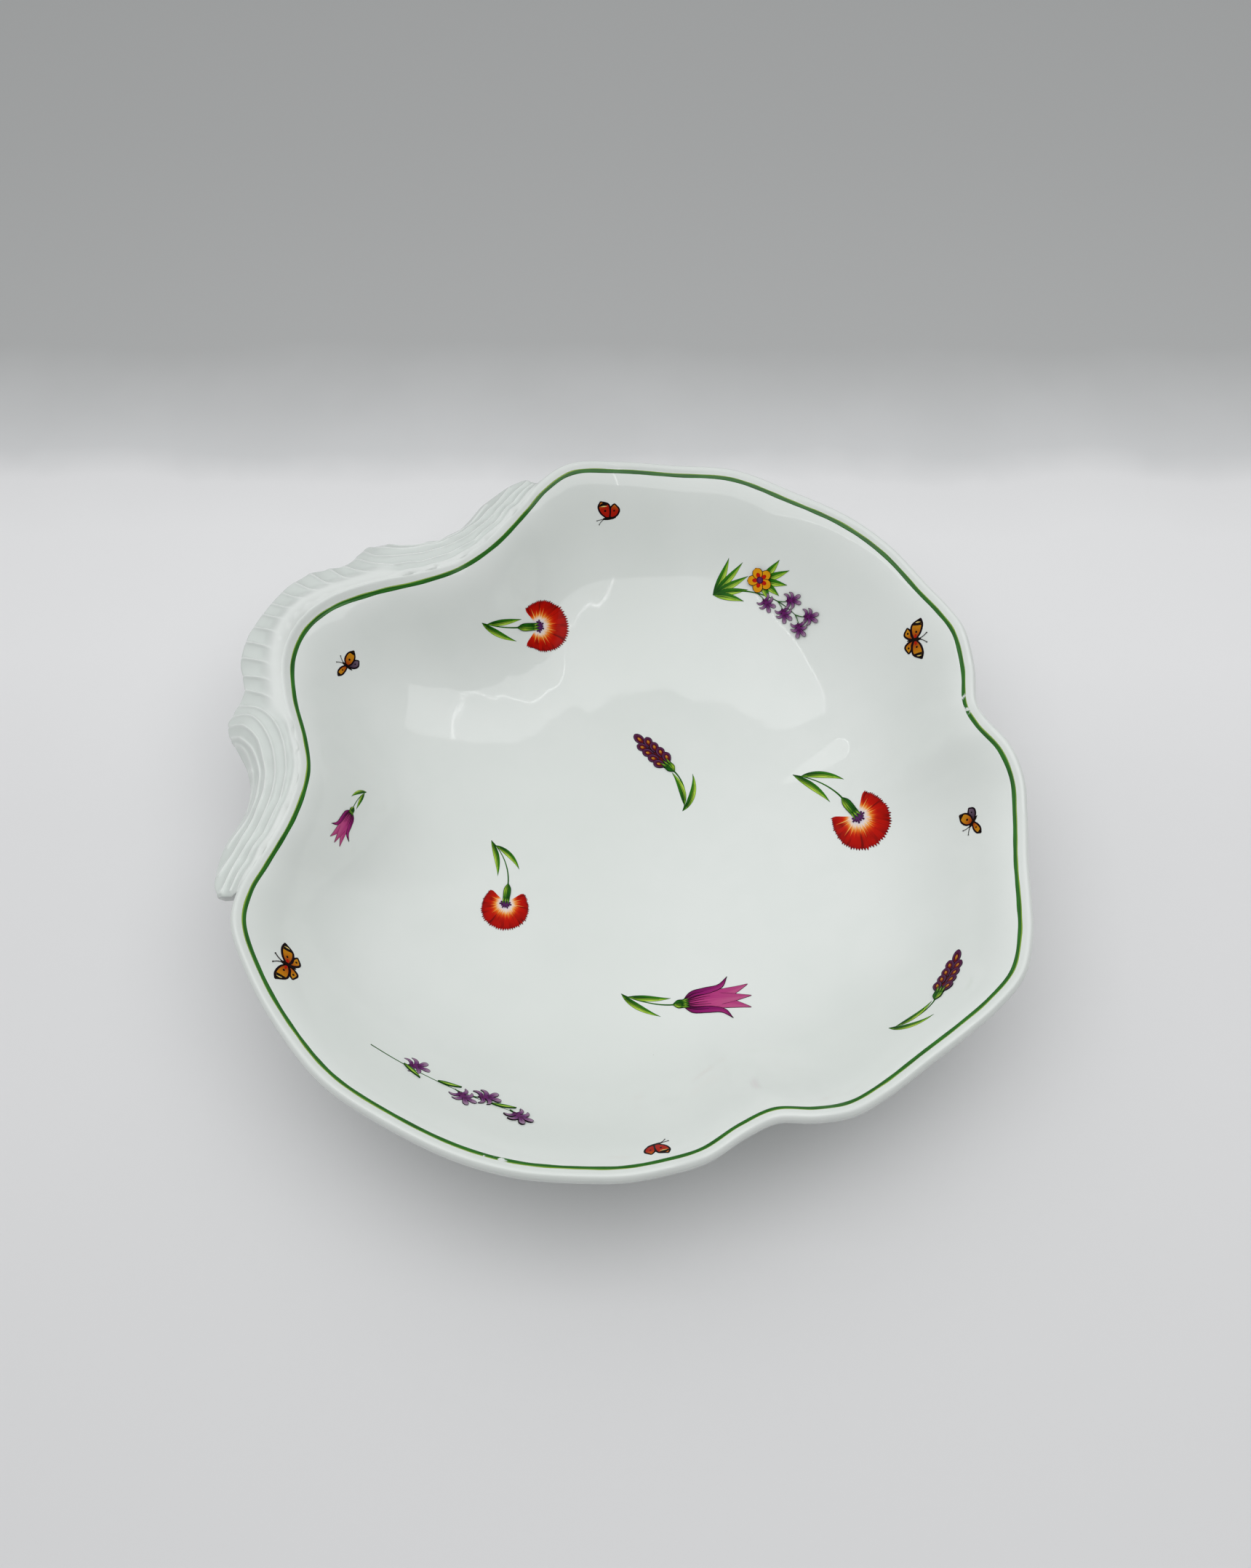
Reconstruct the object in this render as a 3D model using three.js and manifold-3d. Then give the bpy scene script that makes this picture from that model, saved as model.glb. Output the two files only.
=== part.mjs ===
// Shell-shaped porcelain serving bowl, in millimetres, +Z up.
//
// The dish is a lobed bowl on a foot ring. A fluted scallop-shell handle is fixed outside the rim
// at the +Y end, a green enamel line runs just inside the rim, and fifteen floral transfers are
// fired onto the inside. The left (-X) and right (+X) halves mirror each other. The origin lies
// on the table, under the middle of the whole object.

import * as THREE from "three";
import { mergeVertices } from "three/addons/utils/BufferGeometryUtils.js";
import { TessellateModifier } from "three/addons/modifiers/TessellateModifier.js";
import Module from "manifold-3d";

const wasm = await Module();
wasm.setup();

// ---------- Driving dimensions ----------

const RIM_HEIGHT = 55; // table to the green line, on average
const FLOOR_HEIGHT = 9; // table to the glaze in the middle of the bowl
const WALL = 4.6; // thickness of the wall and the floor
const ROUND_RADIUS = 122; // the floor is round, and its circles grow towards this size
const ROUND_UNTIL = 0.35; // share of the way out where the lobes begin
const GAP = 0.3; // clearance between neighbouring pieces
const CENTRE_SHIFT = -4.6; // moves the outline so that the origin is under the middle

const FOOT_INNER = 0.5; // foot ring, as shares of the round radius
const FOOT_OUTER = 0.54;
const FOOT_FACE = [0.25, 0.9]; // the part of the ring's width that meets the table

const LINE_WIDTH = 1.4; // green line
const LINE_THICKNESS = 0.4;
const LINE_INNER_STEP = 0.99; // where the line's inner edge lies on the section

// The rim outside the green line: out from the line, up from it, and share of the crest's lift.
const RIM_BEAD = [
  [3.4, -3.2, 0],
  [4.2, -0.8, 0],
  [3.8, 0.9, 1],
  [2.4, 1.7, 0.75],
];
const CREST_LIFT = 1.8; // extra height of the rim behind the hump of the handle
const CREST_FROM = 88; // distance towards the handle at which the crest begins to rise
const CREST_UNTIL = 125;

const HALF_RIDGE_SPACING = 2.85; // of the ridges at the back of the handle
const HUMP_STATIONS = 12; // stations from the middle of the handle to the end of its hump
const WING_LENGTH = 107; // along the rim, from the middle of the handle to either tip
const WING_STATIONS = 11;
const HANDLE_ROWS = 11; // rows across the handle, from its root to its outer edge
const PLAIN_STATION = 7.4; // spacing of the stations round the rest of the rim
const FLUTE_DEPTH = 1.1;
const HANDLE_DROP = 9; // how far the handle's root reaches below the green line
const HANDLE_LIP = 2.8; // thickness of the handle's outer edge
const HANDLE_TOP_UP = 0.6; // from the green line up to the handle's face, at its root
const HANDLE_NECK_DOWN = 3.3; // from the green line down to the middle of the handle's root
const HANDLE_ROOT_IN = 2.1; // from the green line in to the lowest part of the handle's root
const HANDLE_ARCH = 2; // how far the underside arches up
const EDGE_UNDERCUT = 0.08; // share by which the underside's edge is pulled in

const TRANSFER_LIFT = 0.4; // clearance under a transfer
const TRANSFER_THICKNESS = 0.4;
const TRANSFER_EDGE = 6.5; // longest edge in a transfer, so that it follows the curved wall
const RAY_START = 200; // well above the bowl

// The right half of the green line from the front lobe to the handle: x, y and rise of the rim.
const HALF_OUTLINE = [
  [0, -132.5, 0.3],
  [12.5, -129.8, 0],
  [23, -125.5, -1.5],
  [37, -119, -3],
  [52, -112.4, -2.5],
  [62.5, -106.5, 0],
  [69.5, -98.8, 2.2],
  [75.3, -88.3, 1.5],
  [83.5, -81.2, -2],
  [95.5, -75, -1],
  [105, -67, 2.3],
  [111.5, -58.5, 1],
  [116.5, -49.5, 0],
  [125.2, -31.2, 0.8],
  [129.6, -13.7, 1],
  [130.8, 9, 0.1],
  [129.4, 31, 0.4],
  [122.3, 51, -1.4],
  [113, 68.5, 0.3],
  [102, 82.2, 3],
  [91.5, 87.2, 1.5],
  [81, 89.2, -0.8],
  [62, 91.3, -0.3],
  [47, 96.3, 0.6],
  [37, 104.5, -0.1],
  [24.5, 117.6, -1],
  [12, 126.6, -0.8],
  [0, 129.3, -0.4],
];

// The right half of the handle's outer edge from its middle to its tip: x, y and rise above the
// rim.
const HALF_HANDLE_EDGE = [
  [0, 145.3, 0.4],
  [12, 144.6, 0],
  [20.5, 141.8, -0.8],
  [26, 137.4, -1.6],
  [30.5, 133.8, -2.6],
  [37, 133, -4],
  [42.5, 132.4, -5],
  [46.3, 129, -6],
  [49.3, 123.5, -6.3],
  [53.5, 117, -6.5],
  [58.3, 112.4, -6.5],
  [64.5, 109.2, -6.5],
  [72.5, 107.6, -6.8],
  [80.3, 107, -6.8],
  [86.5, 104.6, -6],
  [92.5, 101.5, -5],
  [96.5, 97.6, -3.5],
];

// The bowl's section from the middle (0, 0) to the green line (1, 1), as a Bezier curve.
const SECTION = [
  [0, 0],
  [0.42, 0],
  [0.82, 0],
  [0.86, 0.8],
  [1, 1],
];
const BINOMIAL = [1, 4, 6, 4, 1];
const SECTION_STEPS = [0.2, 0.34, 0.46, 0.56, 0.66, 0.76, 0.86, 0.94, 1];

// ---------- Materials ----------

function ceramic(colour, roughness) {
  return new THREE.MeshStandardMaterial({ color: colour, roughness, metalness: 0 });
}

const GLAZED_WHITE = ceramic("#e9edec", 0.12);
const BARE_PORCELAIN = ceramic("#d9d5cc", 0.7);
const GREEN_ENAMEL = ceramic("#2f7a1c", 0.3);
const TRANSFER_COLOURS = {
  carnation: ceramic("#c92a12", 0.25),
  bellflower: ceramic("#a83a78", 0.25),
  hyacinth: ceramic("#5b2547", 0.25),
  violets: ceramic("#7d4f93", 0.25),
  bouquet: ceramic("#d9961f", 0.25),
  butterfly: ceramic("#c98a2b", 0.25),
};

// ---------- The outline and the section ----------

function asVectors(half) {
  return half.map(([x, y, z]) => new THREE.Vector3(x, y, z));
}

function closedOutline(half) {
  const right = asVectors(half);
  const left = asVectors(half.slice(1, -1).reverse());
  left.forEach((point) => (point.x *= -1));
  return new THREE.CatmullRomCurve3([...right, ...left], true, "centripetal");
}

function openEdge(half) {
  const right = asVectors(half);
  const left = asVectors(half.slice(1).reverse());
  left.forEach((point) => (point.x *= -1));
  return new THREE.CatmullRomCurve3([...left, ...right], false, "centripetal");
}

const outline = closedOutline(HALF_OUTLINE);
outline.arcLengthDivisions = 2000;
const outlineLength = outline.getLength();
const handleEdge = openEdge(HALF_HANDLE_EDGE);
handleEdge.arcLengthDivisions = 1000;

// A station is a place on the green line: its point, and the way out from the bowl there.
// arc is measured along the line from the middle of the handle, positive to the right.
function stationAt(arc) {
  const share = 0.5 - arc / outlineLength;
  const point = outline.getPointAt(share);
  const along = outline.getTangentAt(share);
  const out = new THREE.Vector2(along.y, -along.x).normalize();
  return { arc, point, out };
}

// Arcs of the stations on one side, from the handle's middle round to the front of the bowl.
function sideArcs() {
  const hump = Array.from({ length: HUMP_STATIONS }, (_, i) => (i + 1) * HALF_RIDGE_SPACING);
  const humpEnd = HUMP_STATIONS * HALF_RIDGE_SPACING;
  const wingStep = (WING_LENGTH - humpEnd) / WING_STATIONS;
  const wing = Array.from({ length: WING_STATIONS }, (_, i) => humpEnd + (i + 1) * wingStep);
  const rest = outlineLength / 2 - WING_LENGTH;
  const plainCount = Math.round(rest / PLAIN_STATION);
  const plain = Array.from({ length: plainCount - 1 }, (_, i) => {
    return WING_LENGTH + ((i + 1) * rest) / plainCount;
  });
  return [...hump, ...wing, ...plain];
}

const side = sideArcs();
// From the front of the bowl, up the right side, over the handle and down the left side.
const stationArcs = [
  outlineLength / 2,
  ...[...side].reverse(),
  0,
  ...side.map((arc) => -arc),
];
const stations = stationArcs.map(stationAt);
const handleStations = stations.filter(({ arc }) => Math.abs(arc) <= WING_LENGTH + GAP);

const smoothstep = THREE.MathUtils.smoothstep;
const lerp = THREE.MathUtils.lerp;

// Share of the way out, and share of the bowl's depth, at one place on the section.
function sectionAt(step) {
  const result = new THREE.Vector2();
  SECTION.forEach(([out, up], k) => {
    const weight = BINOMIAL[k] * (1 - step) ** (4 - k) * step ** k;
    result.x += weight * out;
    result.y += weight * up;
  });
  return result;
}

// A place on the inner glaze, in the upright plane through the middle and one station.
function glazePoint(station, step) {
  const { x, y, z } = station.point;
  const radius = Math.hypot(x, y);
  const share = sectionAt(step);
  const lobes = smoothstep(share.x, ROUND_UNTIL, 1);
  const out = share.x * lerp(ROUND_RADIUS, radius, lobes);
  const height = lerp(FLOOR_HEIGHT, RIM_HEIGHT, share.y) + z * share.x ** 3;
  return new THREE.Vector3((x / radius) * out, (y / radius) * out, height);
}

// The same place moved through the wall to the outside.
function outsidePoint(station, step) {
  const here = glazePoint(station, step);
  const before = glazePoint(station, step - 0.01);
  const after = glazePoint(station, Math.min(step + 0.01, 1));
  const along = after.sub(before);
  const level = Math.hypot(along.x, along.y);
  const length = along.length();
  const outward = (WALL * along.z) / length / Math.hypot(here.x, here.y);
  return new THREE.Vector3(
    here.x * (1 + outward),
    here.y * (1 + outward),
    here.z - (WALL * level) / length,
  );
}

// A place near the rim: out from the green line, and up from it.
function rimPoint(station, out, up) {
  const { point } = station;
  return new THREE.Vector3(
    point.x + station.out.x * out,
    point.y + station.out.y * out,
    RIM_HEIGHT + point.z + up,
  );
}

// The rim stands higher where the hump of the handle joins it.
function crestLift(station) {
  return CREST_LIFT * smoothstep(station.point.y, CREST_FROM, CREST_UNTIL);
}

// ---------- Geometry helpers ----------

// Keeps positions only, merges shared vertices and drops triangles that have no area.
function weld(geometry) {
  geometry.deleteAttribute("normal");
  geometry.deleteAttribute("uv");
  const welded = mergeVertices(geometry, 1e-4);
  const kept = [];
  const index = welded.index.array;
  for (let i = 0; i < index.length; i += 3) {
    const [a, b, c] = [index[i], index[i + 1], index[i + 2]];
    if (a !== b && b !== c && c !== a) {
      kept.push(a, b, c);
    }
  }
  welded.setIndex(kept);
  welded.computeVertexNormals();
  return welded;
}

// Turns a lathe's round rings into the lobed ones: profile(station) gives the ring points of one
// station. The lathe turns the same way as the stations run.
function lobedLathe(profile) {
  const rings = profile(stations[0]).length;
  const flat = Array.from({ length: rings }, (_, k) => new THREE.Vector2(1 + k, k));
  const lathe = new THREE.LatheGeometry(flat, stations.length);
  const position = lathe.getAttribute("position");
  for (let turn = 0; turn <= stations.length; turn += 1) {
    const points = profile(stations[turn % stations.length]);
    points.forEach((point, k) => {
      position.setXYZ(turn * rings + k, point.x, point.y, point.z);
    });
  }
  return weld(lathe);
}

function namedMesh(name, geometry, material) {
  const mesh = new THREE.Mesh(geometry, material);
  mesh.name = name;
  return mesh;
}

// ---------- Bowl, foot ring and green line ----------

function bowlProfile(station) {
  const lift = crestLift(station);
  return [
    new THREE.Vector3(0, 0, FLOOR_HEIGHT - WALL),
    ...SECTION_STEPS.slice(0, -1).map((step) => outsidePoint(station, step)),
    ...RIM_BEAD.map(([out, up, share]) => rimPoint(station, out, up + lift * share)),
    ...[...SECTION_STEPS].reverse().map((step) => glazePoint(station, step)),
    new THREE.Vector3(0, 0, FLOOR_HEIGHT),
  ];
}

const bowlGeometry = lobedLathe(bowlProfile);
const bothSides = new THREE.MeshBasicMaterial({ side: THREE.DoubleSide });
const bowlTarget = new THREE.Mesh(bowlGeometry, bothSides);

function firstHit(origin, direction) {
  return new THREE.Raycaster(origin, direction).intersectObject(bowlTarget)[0];
}

function footProfile(station) {
  const ring = (share) => {
    const direction = new THREE.Vector2(station.point.x, station.point.y).normalize();
    return direction.multiplyScalar(share * ROUND_RADIUS);
  };
  const under = ({ x, y }) => {
    const hit = firstHit(new THREE.Vector3(x, y, -RAY_START), new THREE.Vector3(0, 0, 1));
    return new THREE.Vector3(x, y, hit.point.z - GAP);
  };
  const inner = ring(FOOT_INNER);
  const outer = ring(FOOT_OUTER);
  const onTable = FOOT_FACE.map((share) => {
    const point = inner.clone().lerp(outer, share);
    return new THREE.Vector3(point.x, point.y, 0);
  });
  const profile = [under(inner), ...onTable, under(outer)];
  return [...profile, profile[0].clone()];
}

function greenLineProfile(station) {
  const [beadOut, beadUp, beadShare] = RIM_BEAD.at(-1);
  const slope = (beadUp + crestLift(station) * beadShare) / beadOut;
  const inner = glazePoint(station, LINE_INNER_STEP);
  const outer = rimPoint(station, LINE_WIDTH / 2, (slope * LINE_WIDTH) / 2);
  const raise = (point, by) => point.clone().setZ(point.z + by);
  const bottom = [inner, outer].map((point) => raise(point, GAP));
  const top = [outer, inner].map((point) => raise(point, GAP + LINE_THICKNESS));
  return [...bottom, ...top, bottom[0].clone()];
}

// ---------- Shell handle ----------

// Height of the handle's upper face above the mean rim, across from its root (0) to its edge (1).
function handleTop(station, edge, across, lowered) {
  const root = station.point.z + HANDLE_TOP_UP + crestLift(station);
  return RIM_HEIGHT + lerp(root, edge.z, across ** 3) - lowered;
}

// Ridges run outwards over the hump, and along the rim on the wings.
function fluteDepth(column, row, across) {
  const fromMiddle = Math.abs(column - (handleStations.length - 1) / 2);
  const onHump = fromMiddle <= HUMP_STATIONS;
  const valley = onHump ? fromMiddle % 2 === 0 : row % 2 === 1;
  const fade = onHump ? smoothstep(across, 0.05, 0.45) : smoothstep(across, 0, 0.1);
  return valley ? FLUTE_DEPTH * fade : 0;
}

// A finely divided box is bent round the rim: its length runs from tip to tip, its width from
// the root out to the edge, and its height from the underside to the fluted top.
function shellHandle() {
  const columns = handleStations.length - 1;
  const rows = HANDLE_ROWS;
  const box = new THREE.BoxGeometry(1, 1, 1, columns, rows, 2);
  const position = box.getAttribute("position");
  for (let i = 0; i < position.count; i += 1) {
    const column = Math.round((position.getX(i) + 0.5) * columns);
    const row = Math.round((position.getY(i) + 0.5) * rows);
    const level = Math.round((position.getZ(i) + 0.5) * 2);
    const point = handlePoint(columns - column, row, row / rows, level);
    position.setXYZ(i, point.x, point.y, point.z);
  }
  return weld(box);
}

function handlePoint(column, row, across, level) {
  const station = handleStations[column];
  const along = station.arc / WING_LENGTH;
  const edge = handleEdge.getPointAt(THREE.MathUtils.clamp(0.5 + along / 2, 0, 1));
  const rimWidth = RIM_BEAD[1][0];
  if (level === 2) {
    const root = rimPoint(station, rimWidth + GAP, 0);
    const lowered = fluteDepth(column, row, across);
    return new THREE.Vector3(
      lerp(root.x, edge.x, across),
      lerp(root.y, edge.y, across),
      handleTop(station, edge, across, lowered),
    );
  }
  if (level === 1) {
    const root = rimPoint(station, rimWidth + GAP, -HANDLE_NECK_DOWN);
    const lip = new THREE.Vector3(edge.x, edge.y, RIM_HEIGHT + edge.z - HANDLE_LIP / 2);
    return root.lerp(lip, across);
  }
  const root = rimPoint(station, -HANDLE_ROOT_IN, -HANDLE_DROP);
  const lip = new THREE.Vector3(edge.x, edge.y, RIM_HEIGHT + edge.z - HANDLE_LIP);
  lip.lerp(root, EDGE_UNDERCUT);
  const arch = HANDLE_ARCH * Math.sin(Math.PI * across);
  root.lerp(lip, across);
  return root.setZ(root.z + arch);
}

// ---------- Transfers: flat cut-outs that are laid on the curved glaze ----------

// A leaf, petal or wing: a pointed oval from one point to another, bowed sideways by bend.
function leaf(x0, y0, x1, y1, width, bend = 0) {
  const along = new THREE.Vector2(x1 - x0, y1 - y0);
  const across = new THREE.Vector2(-along.y, along.x).normalize();
  const middle = new THREE.Vector2((x0 + x1) / 2, (y0 + y1) / 2);
  const bulge = (by) => middle.clone().addScaledVector(across, bend + by);
  const shape = new THREE.Shape();
  shape.moveTo(x0, y0);
  const right = bulge(-width);
  shape.quadraticCurveTo(right.x, right.y, x1, y1);
  const left = bulge(width);
  shape.quadraticCurveTo(left.x, left.y, x0, y0);
  return shape;
}

// A stem of even width through a few points.
function stem(points, width = 1.3) {
  const curve = new THREE.SplineCurve(points.map(([x, y]) => new THREE.Vector2(x, y)));
  const steps = 2 * (points.length - 1);
  const left = [];
  const right = [];
  for (let i = 0; i <= steps; i += 1) {
    const at = curve.getPoint(i / steps);
    const along = curve.getTangent(i / steps);
    left.push(new THREE.Vector2(at.x - (along.y * width) / 2, at.y + (along.x * width) / 2));
    right.push(new THREE.Vector2(at.x + (along.y * width) / 2, at.y - (along.x * width) / 2));
  }
  return new THREE.Shape([...right, ...left.reverse()]);
}

function disc(x, y, radius, corners = 8) {
  const points = Array.from({ length: corners }, (_, i) => {
    const angle = (2 * Math.PI * i) / corners;
    return new THREE.Vector2(x + radius * Math.cos(angle), y + radius * Math.sin(angle));
  });
  return new THREE.Shape(points);
}

// A star of petals round a point.
function star(x, y, radius, petals) {
  const points = Array.from({ length: 2 * petals }, (_, i) => {
    const angle = (Math.PI * i) / petals;
    const reach = i % 2 === 0 ? radius : radius * 0.5;
    return new THREE.Vector2(x + reach * Math.cos(angle), y + reach * Math.sin(angle));
  });
  return new THREE.Shape(points);
}

// A toothed fan that opens upwards from its centre.
function fan(x, y, radius, spread, teeth) {
  const points = [new THREE.Vector2(x, y - 1)];
  for (let i = 0; i <= 2 * teeth; i += 1) {
    const angle = THREE.MathUtils.degToRad(90 + spread * (i / teeth - 1));
    const reach = i % 2 === 0 ? radius : radius * 0.9;
    points.push(new THREE.Vector2(x + reach * Math.cos(angle), y + reach * Math.sin(angle)));
  }
  return new THREE.Shape(points);
}

function carnation() {
  return [
    fan(0, 6, 10, 118, 9),
    leaf(0, -4, 0, 8, 3.6),
    stem([[0, -2], [1, -10], [6, -18], [10, -22]]),
    leaf(1.5, -12, -8, -5.5, 2.6, 1),
    leaf(3, -14, 5, -3.5, 2.4, -1),
    leaf(5, -17, 13, -14, 2, 0.5),
  ];
}

function bellflower() {
  return [
    leaf(0, -3, 0, 26, 5),
    leaf(-1, 3, -9, 17, 3.4, 1.5),
    leaf(1, 3, 9, 18, 3.4, -1.5),
    leaf(-1, 4, -5, 22, 3.4, 0.8),
    leaf(1, 4, 5, 22.5, 3.4, -0.8),
    leaf(0, -3, 0, 6, 3.4),
    stem([[0, -1], [-0.5, -7], [-2.5, -14], [-5, -20]]),
    leaf(-2, -14, -7.6, 3.5, 2.4, 2),
    leaf(-2, -13, 9.6, 3.6, 2.6, -3),
  ];
}

function hyacinth() {
  const grains = [];
  for (let row = 0; row < 6; row += 1) {
    const reach = 2.6 * Math.sqrt(1 - row / 6.5);
    grains.push(disc(-reach * 0.75, 3 + row * 2.7, 2, 6), disc(reach * 0.75, 3.6 + row * 2.7, 2, 6));
  }
  return [
    ...grains,
    stem([[0, 14], [0, 2], [-2, -8], [-9.4, -17]]),
    leaf(-6, -14, -6, 5.5, 2.6, -2.5),
    leaf(-5, -12, 8.6, 0.5, 2.4, -3),
  ];
}

function violetHead(x, y) {
  return star(x, y, 3.9, 5);
}

function violets() {
  return [
    stem([[-1, 0], [0, 12], [1, 24], [2, 36], [1, 45]]),
    stem([[0, 10], [-3, 12.5], [-5.5, 14]]),
    stem([[1, 23], [5, 27], [6.5, 30]]),
    stem([[1.5, 28], [-1, 31], [-3, 34]]),
    stem([[2, 37], [5, 41], [7.5, 45]]),
    leaf(-1, 3, 4, 10, 2),
    leaf(1, 16, -4, 22, 2),
    violetHead(-5.9, 13.3),
    violetHead(7.1, 29.8),
    violetHead(-3, 34),
    violetHead(7.9, 45.7),
  ];
}

function bouquet() {
  return [
    stem([[0, 0], [2, 9], [6, 17], [11, 25], [17, 33], [19, 40]]),
    stem([[3, 11], [6, 12], [7.8, 12]]),
    stem([[7.5, 19], [4, 20], [0, 20.6]]),
    stem([[15, 30], [19, 30], [22, 28.8]]),
    leaf(0, 2, -7, 14, 3, 1),
    leaf(1, 6, -6, 24, 3, 0.5),
    leaf(3, 10, 8, 20, 3, -1),
    leaf(6, 20, 3, 31, 3, 0),
    leaf(0, 0, 2, 13, 3, -1),
    star(0, 20.6, 6.2, 5),
    violetHead(7.8, 11.9),
    violetHead(13, 21.5),
    violetHead(12.4, 32.1),
    violetHead(22.2, 28.8),
    violetHead(20.5, 37),
  ];
}

function butterfly() {
  return [
    leaf(0, -4.5, 0, 4.5, 1.8),
    leaf(0, 0, -6.4, 5, 4.4),
    leaf(0, 0, 6.4, 5, 4.4),
    leaf(0, 0.5, -4.8, -3.6, 3.4),
    leaf(0, 0.5, 4.8, -3.6, 3.4),
    stem([[0, 3.5], [1, 5.6], [2.8, 7]], 0.9),
  ];
}

// Joins the flat cut-outs of one transfer, one unit thick, into a single solid.
function joinedCutout(shapes) {
  const solids = shapes.map((shape) => {
    const plate = new THREE.ExtrudeGeometry(shape, {
      depth: 1,
      bevelEnabled: false,
      curveSegments: 3,
    });
    const welded = weld(plate);
    const mesh = new wasm.Mesh({
      numProp: 3,
      vertProperties: welded.getAttribute("position").array,
      triVerts: new Uint32Array(welded.index.array),
    });
    return new wasm.Manifold(mesh);
  });
  const joined = solids.reduce((sum, solid) => sum.add(solid)).getMesh();
  const geometry = new THREE.BufferGeometry();
  geometry.setAttribute("position", new THREE.BufferAttribute(joined.vertProperties, 3));
  geometry.setIndex(new THREE.BufferAttribute(joined.triVerts, 1));
  return geometry;
}

// The flat transfer is cut into small triangles and pressed onto the glaze, along the direction
// in which the glaze faces at the transfer's own origin.
function layOnGlaze(geometry, { x, y, turn, size }) {
  const down = new THREE.Vector3(0, 0, -1);
  const anchor = firstHit(new THREE.Vector3(x, y, RAY_START), down);
  const facing = anchor.face.normal.clone();
  if (facing.z < 0) {
    facing.negate();
  }
  const right = new THREE.Vector3(1, 0, 0).projectOnPlane(facing).normalize();
  right.applyAxisAngle(facing, THREE.MathUtils.degToRad(turn - 90));
  const ahead = new THREE.Vector3().crossVectors(facing, right);
  const fine = new TessellateModifier(TRANSFER_EDGE / size, 8).modify(geometry.toNonIndexed());
  const position = fine.getAttribute("position");
  const inward = facing.clone().negate();
  for (let i = 0; i < position.count; i += 1) {
    const above = anchor.point.clone();
    above.addScaledVector(right, position.getX(i) * size);
    above.addScaledVector(ahead, position.getY(i) * size);
    above.addScaledVector(facing, RAY_START);
    const lift = TRANSFER_LIFT + (position.getZ(i) > 0.5 ? TRANSFER_THICKNESS : 0);
    const laid = firstHit(above, inward).point.addScaledVector(facing, lift);
    position.setXYZ(i, laid.x, laid.y, laid.z);
  }
  return weld(fine);
}

// Where each transfer lies: its origin on the glaze, the way it points, and its size.
const TRANSFERS = [
  { name: "carnation_back", kind: "carnation", x: 51, y: 74.5, turn: -43, size: 1 },
  { name: "carnation_right", kind: "carnation", x: 48.7, y: -57.8, turn: -122, size: 1.1 },
  { name: "carnation_left", kind: "carnation", x: -34.7, y: 30.8, turn: -156, size: 0.88 },
  { name: "bellflower_front", kind: "bellflower", x: -44.2, y: -41.4, turn: -55, size: 1 },
  { name: "bellflower_back", kind: "bellflower", x: -45.5, y: 83, turn: 180, size: 0.58 },
  { name: "hyacinth_middle", kind: "hyacinth", x: 35.5, y: 4.6, turn: 73, size: 1 },
  { name: "hyacinth_front", kind: "hyacinth", x: -13.3, y: -115.5, turn: 6, size: 1 },
  { name: "violets_left", kind: "violets", x: -112, y: 28.6, turn: -94, size: 0.95 },
  { name: "bouquet_right", kind: "bouquet", x: 98.6, y: 21.2, turn: -38, size: 0.95 },
  { name: "butterfly_back_right", kind: "butterfly", x: 99.5, y: 65.5, turn: 140, size: 0.85 },
  { name: "butterfly_right", kind: "butterfly", x: 102.5, y: -55, turn: -80, size: 1 },
  { name: "butterfly_handle", kind: "butterfly", x: 0.2, y: 115, turn: 95, size: 0.8 },
  { name: "butterfly_front_right", kind: "butterfly", x: 49, y: -101, turn: 150, size: 0.85 },
  { name: "butterfly_back_left", kind: "butterfly", x: -105, y: 65.5, turn: 100, size: 1 },
  { name: "butterfly_front_left", kind: "butterfly", x: -100.5, y: -62, turn: -30, size: 0.8 },
];
const CUTOUTS = { carnation, bellflower, hyacinth, violets, bouquet, butterfly };

function transferMesh(transfer) {
  const cutout = joinedCutout(CUTOUTS[transfer.kind]());
  const laid = layOnGlaze(cutout, transfer);
  return namedMesh(`transfer_${transfer.name}`, laid, TRANSFER_COLOURS[transfer.kind]);
}

// ---------- Assembly ----------

const bowl = new THREE.Group();
bowl.add(namedMesh("bowl_body", bowlGeometry, GLAZED_WHITE));
bowl.add(namedMesh("foot_ring", lobedLathe(footProfile), BARE_PORCELAIN));
bowl.add(namedMesh("green_rim_line", lobedLathe(greenLineProfile), GREEN_ENAMEL));
bowl.add(namedMesh("shell_handle", shellHandle(), GLAZED_WHITE));
TRANSFERS.forEach((transfer) => bowl.add(transferMesh(transfer)));
bowl.position.y = CENTRE_SHIFT;

export default bowl;
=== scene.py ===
"""Looks of the shell-shaped porcelain serving bowl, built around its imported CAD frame.

Shapes are worked out in millimetres in the outline's own frame, and to_frame() moves them to the
row frame in metres.
"""

import math

import bmesh
import bpy
import numpy as np
from mathutils import Matrix, Vector
from mathutils.bvhtree import BVHTree


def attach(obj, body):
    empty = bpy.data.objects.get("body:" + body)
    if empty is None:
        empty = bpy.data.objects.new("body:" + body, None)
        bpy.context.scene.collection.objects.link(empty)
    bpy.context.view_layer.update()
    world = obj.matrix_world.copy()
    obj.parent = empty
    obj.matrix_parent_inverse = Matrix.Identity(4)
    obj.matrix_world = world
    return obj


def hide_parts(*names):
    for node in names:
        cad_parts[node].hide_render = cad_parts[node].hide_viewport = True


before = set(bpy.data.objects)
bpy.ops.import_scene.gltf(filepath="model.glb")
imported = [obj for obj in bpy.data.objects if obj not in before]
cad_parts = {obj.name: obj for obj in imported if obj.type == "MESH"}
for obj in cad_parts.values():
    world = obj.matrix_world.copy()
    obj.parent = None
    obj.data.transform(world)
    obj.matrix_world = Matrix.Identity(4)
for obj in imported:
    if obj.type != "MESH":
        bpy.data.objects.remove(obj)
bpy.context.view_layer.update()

# ---------- Driving dimensions, in millimetres ----------
# They repeat the CAD source, except that the painted line is a little narrower than its CAD plate.

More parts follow.
